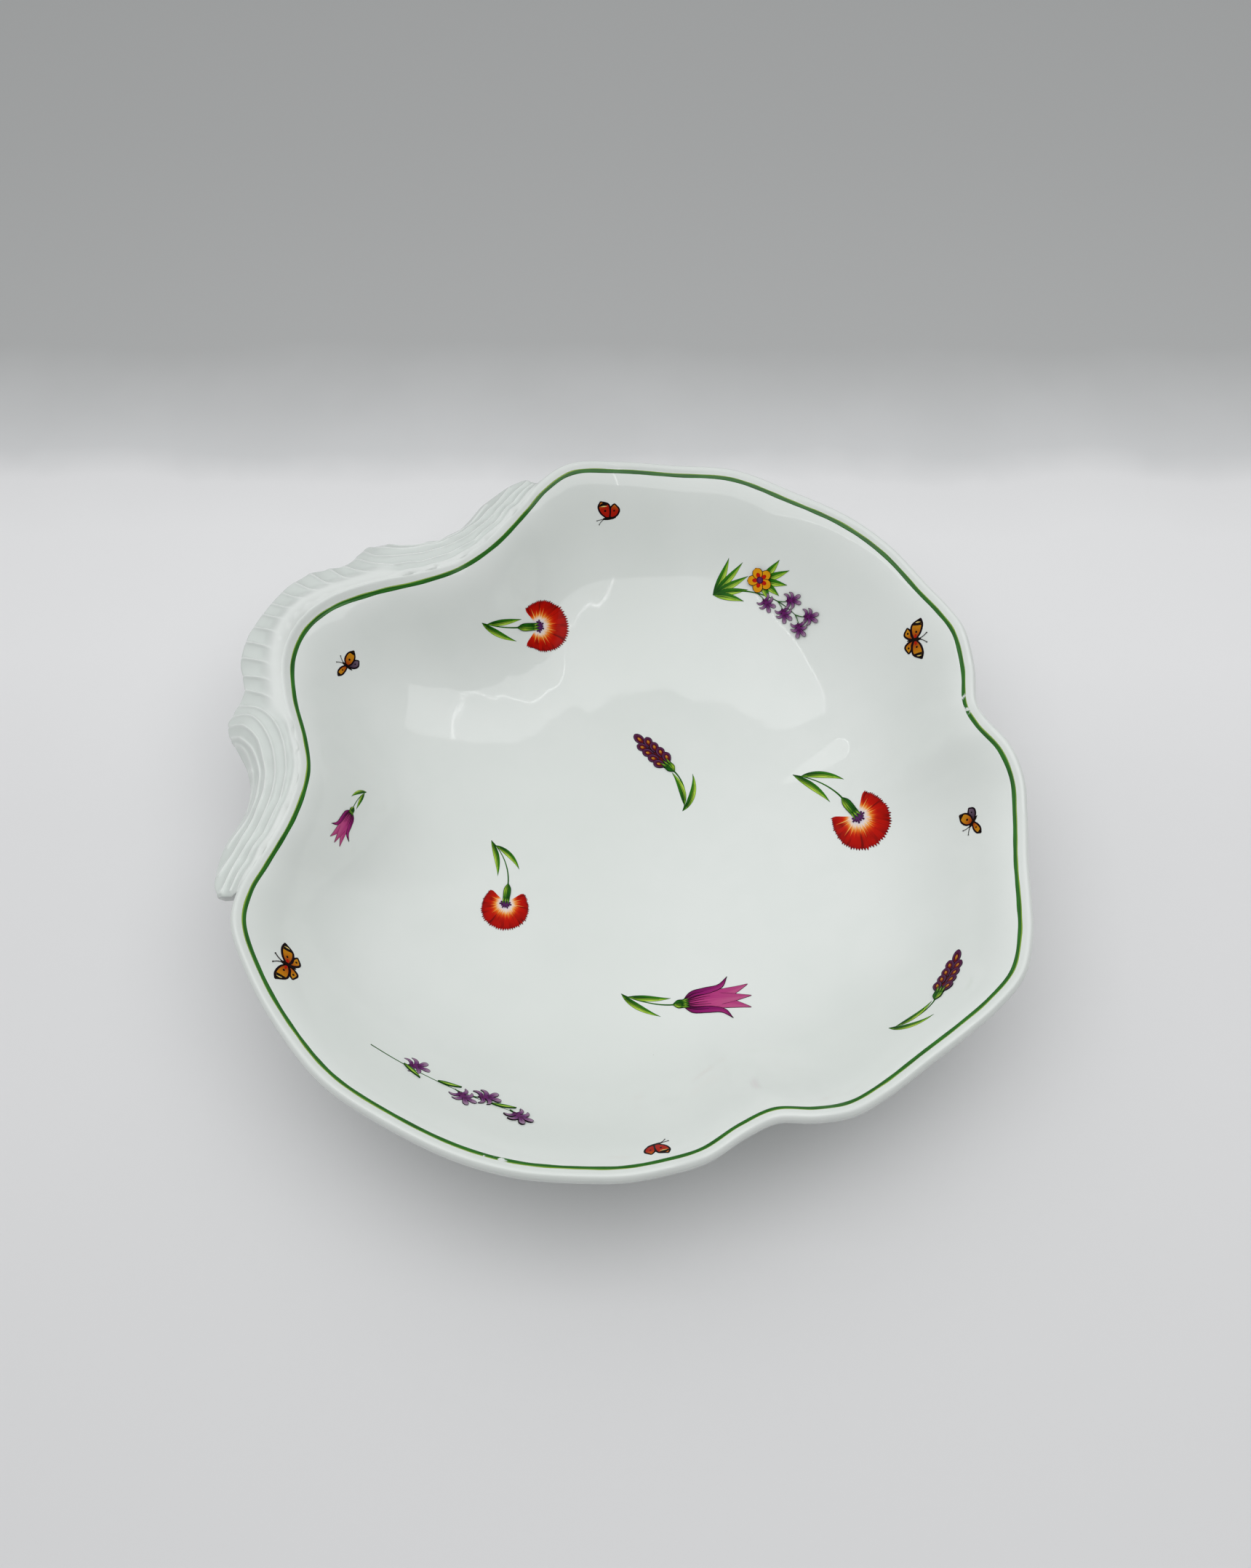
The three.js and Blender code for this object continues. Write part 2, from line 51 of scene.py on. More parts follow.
RIM_HEIGHT = 55.0
FLOOR_HEIGHT = 9.0
WALL = 4.6
ROUND_RADIUS = 122.0
ROUND_UNTIL = 0.35
CENTRE_SHIFT = -4.6
FOOT_INNER = 61.0
FOOT_OUTER = 65.9
LINE_WIDTH = 1.25
CREST_LIFT = 1.8
CREST_FROM = 88.0
CREST_UNTIL = 125.0
WING_LENGTH = 107.0

# Right half of the green line from the front to the handle: x, y and height above the rim's level.
HALF_OUTLINE = [
    (0, -132.5, 0.3), (12.5, -129.8, 0), (23, -125.5, -1.5), (37, -119, -3),
    (52, -112.4, -2.5), (62.5, -106.5, 0), (69.5, -98.8, 2.2), (75.3, -88.3, 1.5),
    (83.5, -81.2, -2), (95.5, -75, -1), (105, -67, 2.3), (111.5, -58.5, 1),
    (116.5, -49.5, 0), (125.2, -31.2, 0.8), (129.6, -13.7, 1), (130.8, 9, 0.1),
    (129.4, 31, 0.4), (122.3, 51, -1.4), (113, 68.5, 0.3), (102, 82.2, 3),
    (91.5, 87.2, 1.5), (81, 89.2, -0.8), (62, 91.3, -0.3), (47, 96.3, 0.6),
    (37, 104.5, -0.1), (24.5, 117.6, -1), (12, 126.6, -0.8), (0, 129.3, -0.4),
]

# Right half of the handle's outer edge from its middle to the tip of its wing, given the same way.
HALF_HANDLE_EDGE = [
    (0, 145.3, 0.4), (12, 144.6, 0), (20.5, 141.8, -0.8), (26, 137.4, -1.6),
    (30.5, 133.8, -2.6), (37, 133, -4), (42.5, 132.4, -5), (46.3, 129, -6),
    (49.3, 123.5, -6.3), (53.5, 117, -6.5), (58.3, 112.4, -6.5), (64.5, 109.2, -6.5),
    (72.5, 107.6, -6.8), (80.3, 107, -6.8), (86.5, 104.6, -6), (92.5, 101.5, -5),
    (96.5, 97.6, -3.5),
]

# Crests of the handle's ridges on the right half, given the same way.
RIDGES = [
    [(2.6, 134.6, 4.4), (2.5, 140, 3), (2.6, 145.4, 1)],
    [(8.4, 133.8, 4), (7.9, 139.5, 2.7), (8.3, 145.2, 0.6)],
    [(14.4, 131, 3.2), (13.6, 137, 2), (14.4, 144.4, 0)],
    [(19.8, 127.4, 2.8), (19, 134, 1.5), (20.4, 142, -0.6)],
    [(25, 123, 2.4), (24.2, 130, 1), (25.8, 137.8, -1.4)],
    [
        (29.8, 134.4, -2.2), (29.4, 127, 0.6), (31.2, 118.6, 2.2), (36.1, 109.4, 2.8),
        (42.1, 102.9, 2.9), (51.2, 97.4, 2.8), (62, 95.3, 2.2), (78, 93.4, 1.6),
        (92, 91.6, 1.8),
    ],
    [
        (35.3, 133.2, -3.6), (34.6, 124.5, 0.6), (36.9, 116.7, 2.3), (42.4, 109, 2.6),
        (51, 102.1, 2.3), (60.5, 98.3, 1.2), (72, 96.6, -0.2), (83, 96, -1), (94, 94.6, -1.4),
    ],
    [
        (39.6, 133, -4.4), (38, 126, 0), (40.7, 118.1, 2), (46.4, 110.4, 2.3),
        (55, 103.9, 1.8), (64.5, 100.9, 0.2), (75, 99.6, -1.3), (85, 99.2, -2.4),
        (95.6, 97.6, -3),
    ],
    [
        (43.2, 132.2, -5.2), (42.3, 126.5, -0.6), (44.6, 118.6, 1.4), (50, 112.2, 1.4),
        (56.2, 107, 1.1), (65.5, 104.1, -0.9), (76, 102.9, -2.6), (90.5, 102.4, -4.6),
    ],
    [
        (46.2, 129, -5.6), (46.2, 125.6, -2.6), (48, 119, -1), (53.4, 112, -1.2),
        (58.4, 108.9, -1.8), (65.5, 106.6, -3.2), (80.5, 106.4, -6),
    ],
    [(47.6, 126.6, -5.8), (48.9, 121.5, -4), (54.3, 114.6, -3.4), (60.6, 110.6, -5), (66.5, 108.6, -6.4)],
]

# Control points of the glaze from the middle to the line: shares of the way out and of the way up.
SECTION = [(0, 0), (0.42, 0), (0.82, 0), (0.86, 0.8), (1, 1)]

# Chips in the line: how far round from the front the middle of each is, and half its length.
CHIPPED_AT = (0.1245, 0.7815)
CHIPPED_REACH = 0.009
LINE_STATIONS = 1800  # points along the line
LINE_WAVER = 0.12  # how unevenly the brush laid its edges
LINE_EDGE_RISE = 0.000015  # above the glaze at its edges, in metres
LINE_RISE = 0.00005  # above the glaze in its middle, in metres
LINE_SINK = 0.00008  # below the glaze, in metres
# Over the rim: out from the line, up from it, and the share of the crest's lift.
RIM_BEAD = [(2.4, 1.7, 0.75), (3.8, 0.9, 1), (4.2, -0.8, 0), (3.4, -3.2, 0)]


def to_frame(points):
    """Outline frame in millimetres to the row frame in metres."""
    moved = np.array(points, float).reshape(-1, 3)
    moved[:, 1] += CENTRE_SHIFT
    return moved * 0.001


# ---------- Curves ----------


def centripetal(points, closed=False, per_span=60):
    """Centripetal Catmull-Rom curve through points, closely sampled."""
    p = np.array(points, float)
    if closed:
        p = np.vstack([p[-1], p, p[:2]])
    else:
        p = np.vstack([2 * p[0] - p[1], p, 2 * p[-1] - p[-2]])
    t = np.linspace(0, 1, per_span, endpoint=False)[:, None]
    spans = []
    for p0, p1, p2, p3 in zip(p[:-3], p[1:-2], p[2:-1], p[3:]):
        d0, d1, d2 = (max(np.linalg.norm(a - b) ** 0.5, 1e-6) for a, b in ((p0, p1), (p1, p2), (p2, p3)))
        m1 = d1 * ((p1 - p0) / d0 - (p2 - p0) / (d0 + d1) + (p2 - p1) / d1)
        m2 = d1 * ((p2 - p1) / d1 - (p3 - p1) / (d1 + d2) + (p3 - p2) / d2)
        spans.append(p1 + m1 * t + (3 * (p2 - p1) - 2 * m1 - m2) * t**2 + (2 * (p1 - p2) + m1 + m2) * t**3)
    spans.append(p[-2][None])
    return np.vstack(spans)


def lengths(curve):
    steps = np.linalg.norm(np.diff(curve, axis=0), axis=1)
    return np.concatenate([[0], np.cumsum(steps)])


def at_shares(curve, shares):
    """Points of a sampled curve at shares of its length."""
    run = lengths(curve)
    return np.stack([np.interp(np.asarray(shares) * run[-1], run, c) for c in curve.T], axis=1)


def evenly(curve, spacing, least=4):
    count = max(least, int(math.ceil(lengths(curve)[-1] / spacing)) + 1)
    return at_shares(curve, np.linspace(0, 1, count))


def smoothstep(x, low, high):
    t = np.clip((x - low) / (high - low), 0, 1)
    return t * t * (3 - 2 * t)


mirrored = [(-x, y, z) for x, y, z in HALF_OUTLINE[1:-1][::-1]]
outline = centripetal(HALF_OUTLINE + mirrored, closed=True, per_span=200)
outline_length = lengths(outline)[-1]
edge_curve = centripetal(
    [(-x, y, z) for x, y, z in HALF_HANDLE_EDGE[1:][::-1]] + HALF_HANDLE_EDGE, per_span=200
)


def stations_at(arcs):
    """Points of the green line at arcs from the middle of the handle, and the ways out there."""
    shares = (0.5 - np.asarray(arcs, float) / outline_length) % 1
    points = at_shares(outline, shares)
    ahead = at_shares(outline, (shares + 0.0004) % 1) - at_shares(outline, (shares - 0.0004) % 1)
    out = np.stack([ahead[:, 1], -ahead[:, 0]], axis=1)
    return points, out / np.linalg.norm(out, axis=1)[:, None]


def section_at(step):
    total = np.zeros(2)
    for k, point in enumerate(SECTION):
        total += math.comb(4, k) * (1 - step) ** (4 - k) * step**k * np.array(point)
    return total


def glaze_points(points, step):
    """Inner glaze, in the upright planes through the middle and each station."""
    radius = np.hypot(points[:, 0], points[:, 1])
    share, depth = section_at(step)
    lobes = smoothstep(share, ROUND_UNTIL, 1)
    out = share * (ROUND_RADIUS * (1 - lobes) + radius * lobes)
    height = FLOOR_HEIGHT + (RIM_HEIGHT - FLOOR_HEIGHT) * depth + points[:, 2] * share**3
    return np.stack([points[:, 0] / radius * out, points[:, 1] / radius * out, height], axis=1)


def outside_points(points, step):
    """The same places moved through the wall to the outside."""
    here = glaze_points(points, step)
    along = glaze_points(points, min(step + 0.01, 1)) - glaze_points(points, step - 0.01)
    level = np.hypot(along[:, 0], along[:, 1])
    length = np.linalg.norm(along, axis=1)
    outward = 1 + WALL * along[:, 2] / length / np.hypot(here[:, 0], here[:, 1])
    return np.stack([here[:, 0] * outward, here[:, 1] * outward, here[:, 2] - WALL * level / length], axis=1)


def rim_points(points, out, by, up):
    """Places near the rim: out from the green line, and up from it."""
    flat = points[:, :2] + out * np.reshape(by, (-1, 1))
    return np.column_stack([flat, RIM_HEIGHT + points[:, 2] + up])


def crest_lift(points):
    return CREST_LIFT * smoothstep(points[:, 1], CREST_FROM, CREST_UNTIL)


# ---------- Mesh helpers ----------


def grid_faces(rows, columns, wrap_rows=False, wrap_columns=False):
    """Quads of a grid of points that is stored row by row."""
    index = np.arange(rows * columns).reshape(rows, columns)
    if wrap_rows:
        index = np.vstack([index, index[:1]])
    if wrap_columns:
        index = np.hstack([index, index[:, :1]])
    quads = np.stack([index[:-1, :-1], index[:-1, 1:], index[1:, 1:], index[1:, :-1]], axis=-1)
    return quads.reshape(-1, 4).tolist()


def mesh_object(name, points, faces, materials, smooth=True):
    mesh = bpy.data.meshes.new(name)
    mesh.from_pydata(np.asarray(points).tolist(), [], faces)
    mesh.polygons.foreach_set("use_smooth", [smooth] * len(mesh.polygons))
    for material in materials:
        mesh.materials.append(material)
    obj = bpy.data.objects.new(name, mesh)
    bpy.context.scene.collection.objects.link(obj)
    return obj


def face_outwards(obj):
    work = bmesh.new()
    work.from_mesh(obj.data)
    bmesh.ops.recalc_face_normals(work, faces=work.faces)
    work.to_mesh(obj.data)
    work.free()


# ---------- Materials ----------


def linear(colour):
    """#rrggbb to scene-linear RGBA."""
    parts = [int(colour[i : i + 2], 16) / 255 for i in (1, 3, 5)]
    return tuple(c / 12.92 if c <= 0.04045 else ((c + 0.055) / 1.055) ** 2.4 for c in parts) + (1.0,)


class Nodes:
    """A material's node tree, with short calls for the nodes that are used here."""

    def __init__(self, name):
        self.material = bpy.data.materials.new(name)
        self.material.use_nodes = True
        self.tree = self.material.node_tree
        self.shader = self.tree.nodes["Principled BSDF"]

    def add(self, kind, inputs=(), **settings):
        node = self.tree.nodes.new(kind)
        for key, value in settings.items():
            setattr(node, key, value)
        for key, value in dict(inputs).items():
            self.feed(node.inputs[key], value)
        return node

    def feed(self, socket, value):
        if isinstance(value, bpy.types.NodeSocket):
            self.tree.links.new(value, socket)
        else:
            socket.default_value = value

    def math(self, operation, a, b=0.0):
        return self.add("ShaderNodeMath", {0: a, 1: b}, operation=operation).outputs[0]

    def times(self, a, b):
        return self.math("MULTIPLY", a, b)

    def combine(self, x, y, z=0.0):
        return self.add("ShaderNodeCombineXYZ", {"X": x, "Y": y, "Z": z}).outputs["Vector"]

    def remap(self, value, low, high, to_low=0.0, to_high=1.0):
        inputs = {"Value": value, "From Min": low, "From Max": high, "To Min": to_low, "To Max": to_high}
        return self.add("ShaderNodeMapRange", inputs, interpolation_type="SMOOTHSTEP").outputs["Result"]

    def mix(self, share, a, b):
        node = self.add("ShaderNodeMix", data_type="RGBA", clamp_factor=True)
        self.feed(node.inputs[0], share)
        self.feed(node.inputs[6], linear(a) if isinstance(a, str) else a)
        self.feed(node.inputs[7], linear(b) if isinstance(b, str) else b)
        return node.outputs[2]

    def ramp(self, share, stops):
        node = self.add("ShaderNodeValToRGB", {"Fac": share})
        elements = node.color_ramp.elements
        while len(elements) < len(stops):
            elements.new(0.5)
        for element, (place, colour) in zip(elements, stops):
            element.position = place
            element.color = linear(colour)
        return node.outputs["Color"]

    def noise(self, vector, scale, detail=2.0, roughness=0.5):
        inputs = {"Vector": vector, "Scale": scale, "Detail": detail, "Roughness": roughness}
        return self.add("ShaderNodeTexNoise", inputs).outputs["Fac"]

    def place(self):
        return self.add("ShaderNodeTexCoord").outputs["Object"]

    def bump(self, height, strength, distance):
        inputs = {"Height": height, "Strength": strength, "Distance": distance}
        return self.add("ShaderNodeBump", inputs).outputs["Normal"]

    def finish(self, **values):
        for key, value in values.items():
            self.feed(self.shader.inputs[key.replace("_", " ")], value)
        return self.material


def glaze_material(name):
    """Cool white porcelain under clear glaze: faint tone changes, waviness, tiny specks, and a greyer green
    in the handle's flutes that is partly pooled glaze and partly painted shade.
    """
    n = Nodes(name)
    place = n.place()
    tone = n.noise(place, 9.0, 3.0)
    cloud = n.noise(place, 55.0, 2.0)
    colour = n.mix(n.remap(tone, 0.3, 0.7), "#e3e8e4", "#e9edea")
    colour = n.mix(n.remap(cloud, 0.35, 0.75, 0.0, 0.25), colour, "#dfe5e1")
    # Painted shade with pooled glaze: the flutes between the handle's crests are tinted greyer green, more
    # deeply than the pooled glaze alone, to darken them.
    pooled_glaze_and_shade = n.add("ShaderNodeAttribute", attribute_name="pooled_glaze_and_shade").outputs["Fac"]
    colour = n.mix(n.times(pooled_glaze_and_shade, 0.6), colour, "#d0d8d3")
    speck = n.add("ShaderNodeTexVoronoi", {"Vector": place, "Scale": 46.0}, feature="F1")
    sparse = n.add("ShaderNodeSeparateColor", {"Color": speck.outputs["Color"]}).outputs[0]
    small = n.math("LESS_THAN", speck.outputs["Distance"], 0.009)
    rare = n.math("GREATER_THAN", sparse, 0.93)
    colour = n.mix(n.times(n.times(small, rare), 0.6), colour, "#8f8b80")
    rough = n.remap(n.noise(place, 130.0, 3.0), 0.3, 0.8, 0.045, 0.085)
    wave = n.noise(place, 38.0, 2.0)
    peel = n.noise(place, 420.0, 2.0)
    height = n.math("ADD", wave, n.times(peel, 0.12))
    return n.finish(
        Base_Color=colour, Roughness=rough, IOR=1.5, Normal=n.bump(height, 0.12, 0.0004)
    )


def bare_material(name):
    """Foot ring: glazed on its sides, bare and sandy where it meets the table."""
    n = Nodes(name)
    place = n.place()
    up = n.add("ShaderNodeSeparateXYZ", {"Vector": place}).outputs["Z"]
    edge = n.math("ADD", up, n.times(n.noise(place, 160.0, 2.0), 0.0008))
    glazed = n.remap(edge, 0.0011, 0.0016)
    grain = n.noise(place, 2200.0, 3.0)
    bare = n.mix(n.remap(grain, 0.35, 0.7), "#c9c3b6", "#ded9cf")
    worn = n.remap(n.noise(place, 90.0, 4.0), 0.5, 0.75, 0.0, 0.5)
    bare = n.mix(worn, bare, "#a89f90")
    colour = n.mix(glazed, bare, "#e4e8e5")
    rough = n.remap(glazed, 0.0, 1.0, 0.75, 0.08)
    height = n.times(grain, n.math("SUBTRACT", 1.0, glazed))
    return n.finish(Base_Color=colour, Roughness=rough, IOR=1.5, Normal=n.bump(height, 0.25, 0.0003))


def stroke_parts(n):
    """Place along a brush stroke, place across it, and its own number."""
    vector = n.add("ShaderNodeAttribute", attribute_name="stroke").outputs["Vector"]
    parts = n.add("ShaderNodeSeparateXYZ", {"Vector": vector})
    return parts.outputs["X"], parts.outputs["Y"], parts.outputs["Z"]


def paint(name, dark, light=None, edge=None, edge_from=0.72, streak=0.25, lines=5.0, shade=None):
    """Overglaze enamel laid in brush strokes.

    dark and light are colour stops along the stroke, for its left and its right half. Fine
    streaks run along the stroke, edge is the colour of its rim, and shade darkens some strokes.
    """
    n = Nodes(name)
    along, across, number = stroke_parts(n)
    seed = n.times(number, 3.7)
    hair = n.combine(n.times(along, 1.3), n.times(across, lines), seed)
    streaks = n.noise(hair, 1.0, 3.0, 0.6)
    offset = n.times(n.math("SUBTRACT", streaks, 0.5), streak)
    colour = n.ramp(n.math("ADD", along, offset), dark)
    if light:
        other = n.ramp(n.math("ADD", along, offset), light)
        sideways = n.math("ADD", across, n.times(n.math("SUBTRACT", streaks, 0.5), 1.6))
        colour = n.mix(n.remap(sideways, -0.25, 0.35), colour, other)
    if shade:
        some = n.noise(n.combine(n.times(number, 0.61), along), 1.0, 2.0)
        late = n.remap(along, 0.3, 0.6)
        dark_share = n.times(n.remap(some, 0.45, 0.68), late)
        colour = n.mix(n.times(dark_share, 0.75), colour, shade)
    if edge:
        rim = n.math("ABSOLUTE", across)
        colour = n.mix(n.remap(rim, edge_from, 0.95), colour, edge)
    rough = n.remap(streaks, 0.3, 0.7, 0.1, 0.2)
    return n.finish(
        Base_Color=colour, Roughness=rough, IOR=1.5, Specular_IOR_Level=0.08,
        Normal=n.bump(streaks, 0.08, 0.0001),
    )


def line_material(name):
    """Green rim line: brushed dark green, thin yellow-green at its outer edge, two chipped places."""
    n = Nodes(name)
    along, across, _ = stroke_parts(n)
    place = n.place()
    hair = n.combine(n.times(along, 90.0), n.times(across, 2.0))
    brush = n.noise(hair, 1.0, 3.0)
    colour = n.mix(n.remap(brush, 0.3, 0.7), "#125207", "#25730f")
    limit = n.remap(n.noise(place, 30.0, 2.0), 0.3, 0.7, 0.3, 0.75)
    rim = n.math("SUBTRACT", across, limit)
    colour = n.mix(n.remap(rim, 0.0, 0.3), colour, "#86a832")
    grain = n.noise(place, 420.0, 3.0, 0.65)
    chipped = 0.0
    for where in CHIPPED_AT:
        gap = n.math("ABSOLUTE", n.math("SUBTRACT", along, where))
        chipped = n.math("ADD", chipped, n.remap(gap, 0.0, CHIPPED_REACH, 1.0, 0.0))
    amount = n.times(n.remap(grain, 0.52, 0.6), n.remap(chipped, 0.2, 0.6))
    colour = n.mix(amount, colour, "#dfe4e0")
    rough = n.remap(brush, 0.3, 0.7, 0.1, 0.2)
    return n.finish(
        Base_Color=colour, Roughness=rough, IOR=1.5, Specular_IOR_Level=0.4,
        Normal=n.bump(brush, 0.1, 0.0001),
    )


GLAZE = glaze_material("white_glaze")
FOOT = bare_material("bare_porcelain")
LINE = line_material("green_enamel")

PAINTS = {
    "leaf": paint(
        "leaf_green",
        [(0, "#0e3c07"), (0.3, "#1c5e0b"), (0.7, "#35800f"), (1, "#1c5a0c")],
        [(0, "#3a780f"), (0.25, "#7aa828"), (0.55, "#b4d64c"), (0.85, "#8cb834"), (1, "#2c6a12")],
        edge="#0f4208", edge_from=0.86, lines=7.0, streak=0.4,
    ),
    "vein": paint("leaf_vein", [(0, "#0a2f06"), (1, "#0f3d08")]),
    "stem": paint("stem_green", [(0, "#1e560c"), (0.5, "#2f6f12"), (1, "#123f08")], edge="#123f0a"),
    "calyx": paint(
        "calyx_green",
        [(0, "#12430a"), (0.5, "#1e6410"), (1, "#0c3206")],
        [(0, "#1e6410"), (0.45, "#94b834"), (0.8, "#4a861c"), (1, "#143f0a")],
        edge="#0c3206", lines=6.0, streak=0.35,
    ),
    "carnation": paint(
        "carnation_red",
        [
            (0, "#c6b8d0"), (0.16, "#e6dce4"), (0.25, "#f0d8c0"), (0.33, "#ee8f26"), (0.44, "#d93a0c"),
            (0.56, "#c21402"), (0.9, "#a80902"), (1, "#500a1e"),
        ],
        streak=0.5, lines=2.2, shade="#5c0402",
    ),
    "flame": paint("carnation_flame", [(0, "#f6efe6"), (0.4, "#f4c060"), (1, "#e0551a")], streak=0.3),
    "stamen": paint("stamen_purple", [(0, "#2a0a28"), (0.5, "#5d2a66"), (1, "#3a103a")], edge="#22082a"),
    "bell": paint(
        "bell_pink",
        [(0, "#6c0f4c"), (0.25, "#a22a70"), (0.6, "#b23c7c"), (1, "#b2487c")],
        [(0, "#7a1256"), (0.25, "#b03478"), (0.6, "#bd4c84"), (1, "#b85a86")],
        streak=0.4, lines=7.0,
    ),
    "bell_dark": paint(
        "bell_purple",
        [(0, "#4c0838"), (0.35, "#760f5a"), (0.8, "#8c1c66"), (1, "#4a0a38")],
        [(0, "#5c0a44"), (0.35, "#8c1668"), (0.8, "#a02c74"), (1, "#5a0f44")],
        streak=0.4, lines=7.0,
    ),
    "outline": paint("dark_outline", [(0, "#16040f"), (1, "#12040c")]),
    "floret": paint(
        "hyacinth_purple", [(0, "#2c0618"), (0.5, "#451030"), (1, "#552448")], edge="#62365e", edge_from=0.66,
    ),
    "gold": paint("gold_drop", [(0, "#5c1c0a"), (0.4, "#b06c18"), (1, "#c88a2c")], edge="#5a1c0c"),
    "core": paint("spike_core", [(0, "#6a0a12"), (1, "#4c0a1c")], shade="#2a0610"),
    "violet": paint(
        "violet_mauve", [(0, "#4c1050"), (0.35, "#6c3070"), (0.75, "#93708f"), (1, "#a08aa2")],
        streak=0.35, lines=4.0,
    ),
    "violet_core": paint("violet_core", [(0, "#3c0838"), (0.5, "#641a60"), (1, "#4c124c")]),
    "yellow": paint("petal_yellow", [(0, "#d8850a"), (0.5, "#dd9a10"), (1, "#d68c10")], streak=0.2),
    "red": paint("petal_red", [(0, "#b51c06"), (0.6, "#bd1505"), (1, "#9a0e04")], streak=0.2),
    "wing": paint(
        "wing_orange",
        [(0, "#7c1e06"), (0.2, "#a84a0c"), (0.5, "#c07a12"), (1, "#c98e1a")],
        streak=0.3, lines=4.0,
    ),
    "wing_red": paint(
        "wing_red",
        [(0, "#a81408"), (0.55, "#a81c08"), (0.75, "#b04a10"), (1, "#c47c1c")],
        streak=0.25, lines=5.0,
    ),
    "wing_grey": paint("wing_grey", [(0, "#2c1a24"), (0.6, "#5c4a5c"), (1, "#7a6a78")], lines=6.0),
    "black": paint("black_enamel", [(0, "#100806"), (1, "#160c0a")]),
    "cream": paint("cream_enamel", [(0, "#d8bc66"), (1, "#e0cc84")]),
}

# ---------- Bowl ----------

STATION_COUNT = 1080
arcs = np.linspace(0.5, -0.5, STATION_COUNT, endpoint=False) * outline_length
line_points, line_out = stations_at(arcs)
lift = crest_lift(line_points)

inner_steps = np.concatenate([np.linspace(1, 0.88, 14), np.linspace(0.87, 0.06, 50)])
outer_steps = np.linspace(0.06, 0.93, 42)


def bead_rows():
    """The rim from the green line over its rounded crest and down to the outside of the wall."""
    control = [glaze_points(line_points, 0.93), glaze_points(line_points, 1)]
    control += [rim_points(line_points, line_out, by, up + lift * share) for by, up, share in RIM_BEAD]
    control += [outside_points(line_points, step) for step in (0.93, 0.86)]
    stack = np.stack(control)
    rows = []
    for k in range(1, len(stack) - 2):
        p0, p1, p2, p3 = stack[k - 1 : k + 3]
        for t in np.linspace(0, 1, 6, endpoint=False):
            rows.append(
                0.5 * (2 * p1 + (p2 - p0) * t + (2 * p0 - 5 * p1 + 4 * p2 - p3) * t**2
                       + (3 * p1 - p0 - 3 * p2 + p3) * t**3)
            )
    return rows[1:]


def build_bowl():
    rows = [outside_points(line_points, step) for step in outer_steps]
    rows += bead_rows()[::-1]
    first_inner = len(rows)
    rows += [glaze_points(line_points, step) for step in inner_steps]
    points = np.vstack(rows)
    faces = grid_faces(len(rows), STATION_COUNT, wrap_columns=True)
    below = len(points)
    points = np.vstack([points, [[0, 0, FLOOR_HEIGHT - WALL], [0, 0, FLOOR_HEIGHT]]])
    last = (len(rows) - 1) * STATION_COUNT
    for i in range(STATION_COUNT):
        j = (i + 1) % STATION_COUNT
        faces.append([i, below, j])
        faces.append([last + j, below + 1, last + i])
    obj = mesh_object("bowl_body_look", to_frame(points), faces, [GLAZE])
    face_outwards(obj)
    glaze_rows = rows[first_inner - 24 :]
    tree = BVHTree.FromPolygons(
        to_frame(np.vstack(glaze_rows)).tolist() + [to_frame([0, 0, FLOOR_HEIGHT])[0].tolist()],
        grid_faces(len(glaze_rows), STATION_COUNT, wrap_columns=True)
        + [
            [(len(glaze_rows) - 1) * STATION_COUNT + (i + 1) % STATION_COUNT,
             len(glaze_rows) * STATION_COUNT,
             (len(glaze_rows) - 1) * STATION_COUNT + i]
            for i in range(STATION_COUNT)
        ],
    )
    return obj, tree


bowl, glaze_tree = build_bowl()
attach(bowl, "root")
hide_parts("bowl_body")


# ---------- Foot ring ----------


def build_foot():
    count = 360
    angle = np.linspace(0, 2 * math.pi, count, endpoint=False)
    underside = section_underside()
    profile = [
        (FOOT_INNER - 1.6, underside(FOOT_INNER - 1.6) + 1.2),
        (FOOT_INNER - 0.4, underside(FOOT_INNER) - 0.9),
        (FOOT_INNER + 0.1, 4.6),
        (FOOT_INNER + 0.5, 1.6),
        (FOOT_INNER + 1.2, 0.25),
        (FOOT_INNER + 2.0, 0.0),
        (FOOT_OUTER - 1.6, 0.0),
        (FOOT_OUTER - 0.7, 0.25),
        (FOOT_OUTER - 0.2, 1.4),
        (FOOT_OUTER, 4.0),
        (FOOT_OUTER + 0.3, underside(FOOT_OUTER) - 1.6),
        (FOOT_OUTER + 1.9, underside(FOOT_OUTER + 1.9) + 1.2),
    ]
    curve = evenly(centripetal([(r, 0, z) for r, z in profile], per_span=30), 0.35)
    rows = [
        np.column_stack([r * np.cos(angle), r * np.sin(angle), np.full(count, max(z, 0.0))])
        for r, _, z in curve
    ]
    faces = grid_faces(len(rows), count, wrap_rows=True, wrap_columns=True)
    obj = mesh_object("foot_ring_look", to_frame(np.vstack(rows)), faces, [FOOT])
    face_outwards(obj)
    return obj


def section_underside():
    """Height of the underside of the round floor at a radius."""
    radii, heights = [], []
    for step in np.linspace(0.05, 0.6, 60):
        point = outside_points(np.array([[ROUND_RADIUS, 0.0, 0.0]]), step)[0]
        radii.append(point[0])
        heights.append(point[2])
    return lambda radius: float(np.interp(radius, radii, heights))


foot = build_foot()
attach(foot, "root")
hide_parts("foot_ring")


# ---------- Shell handle ----------


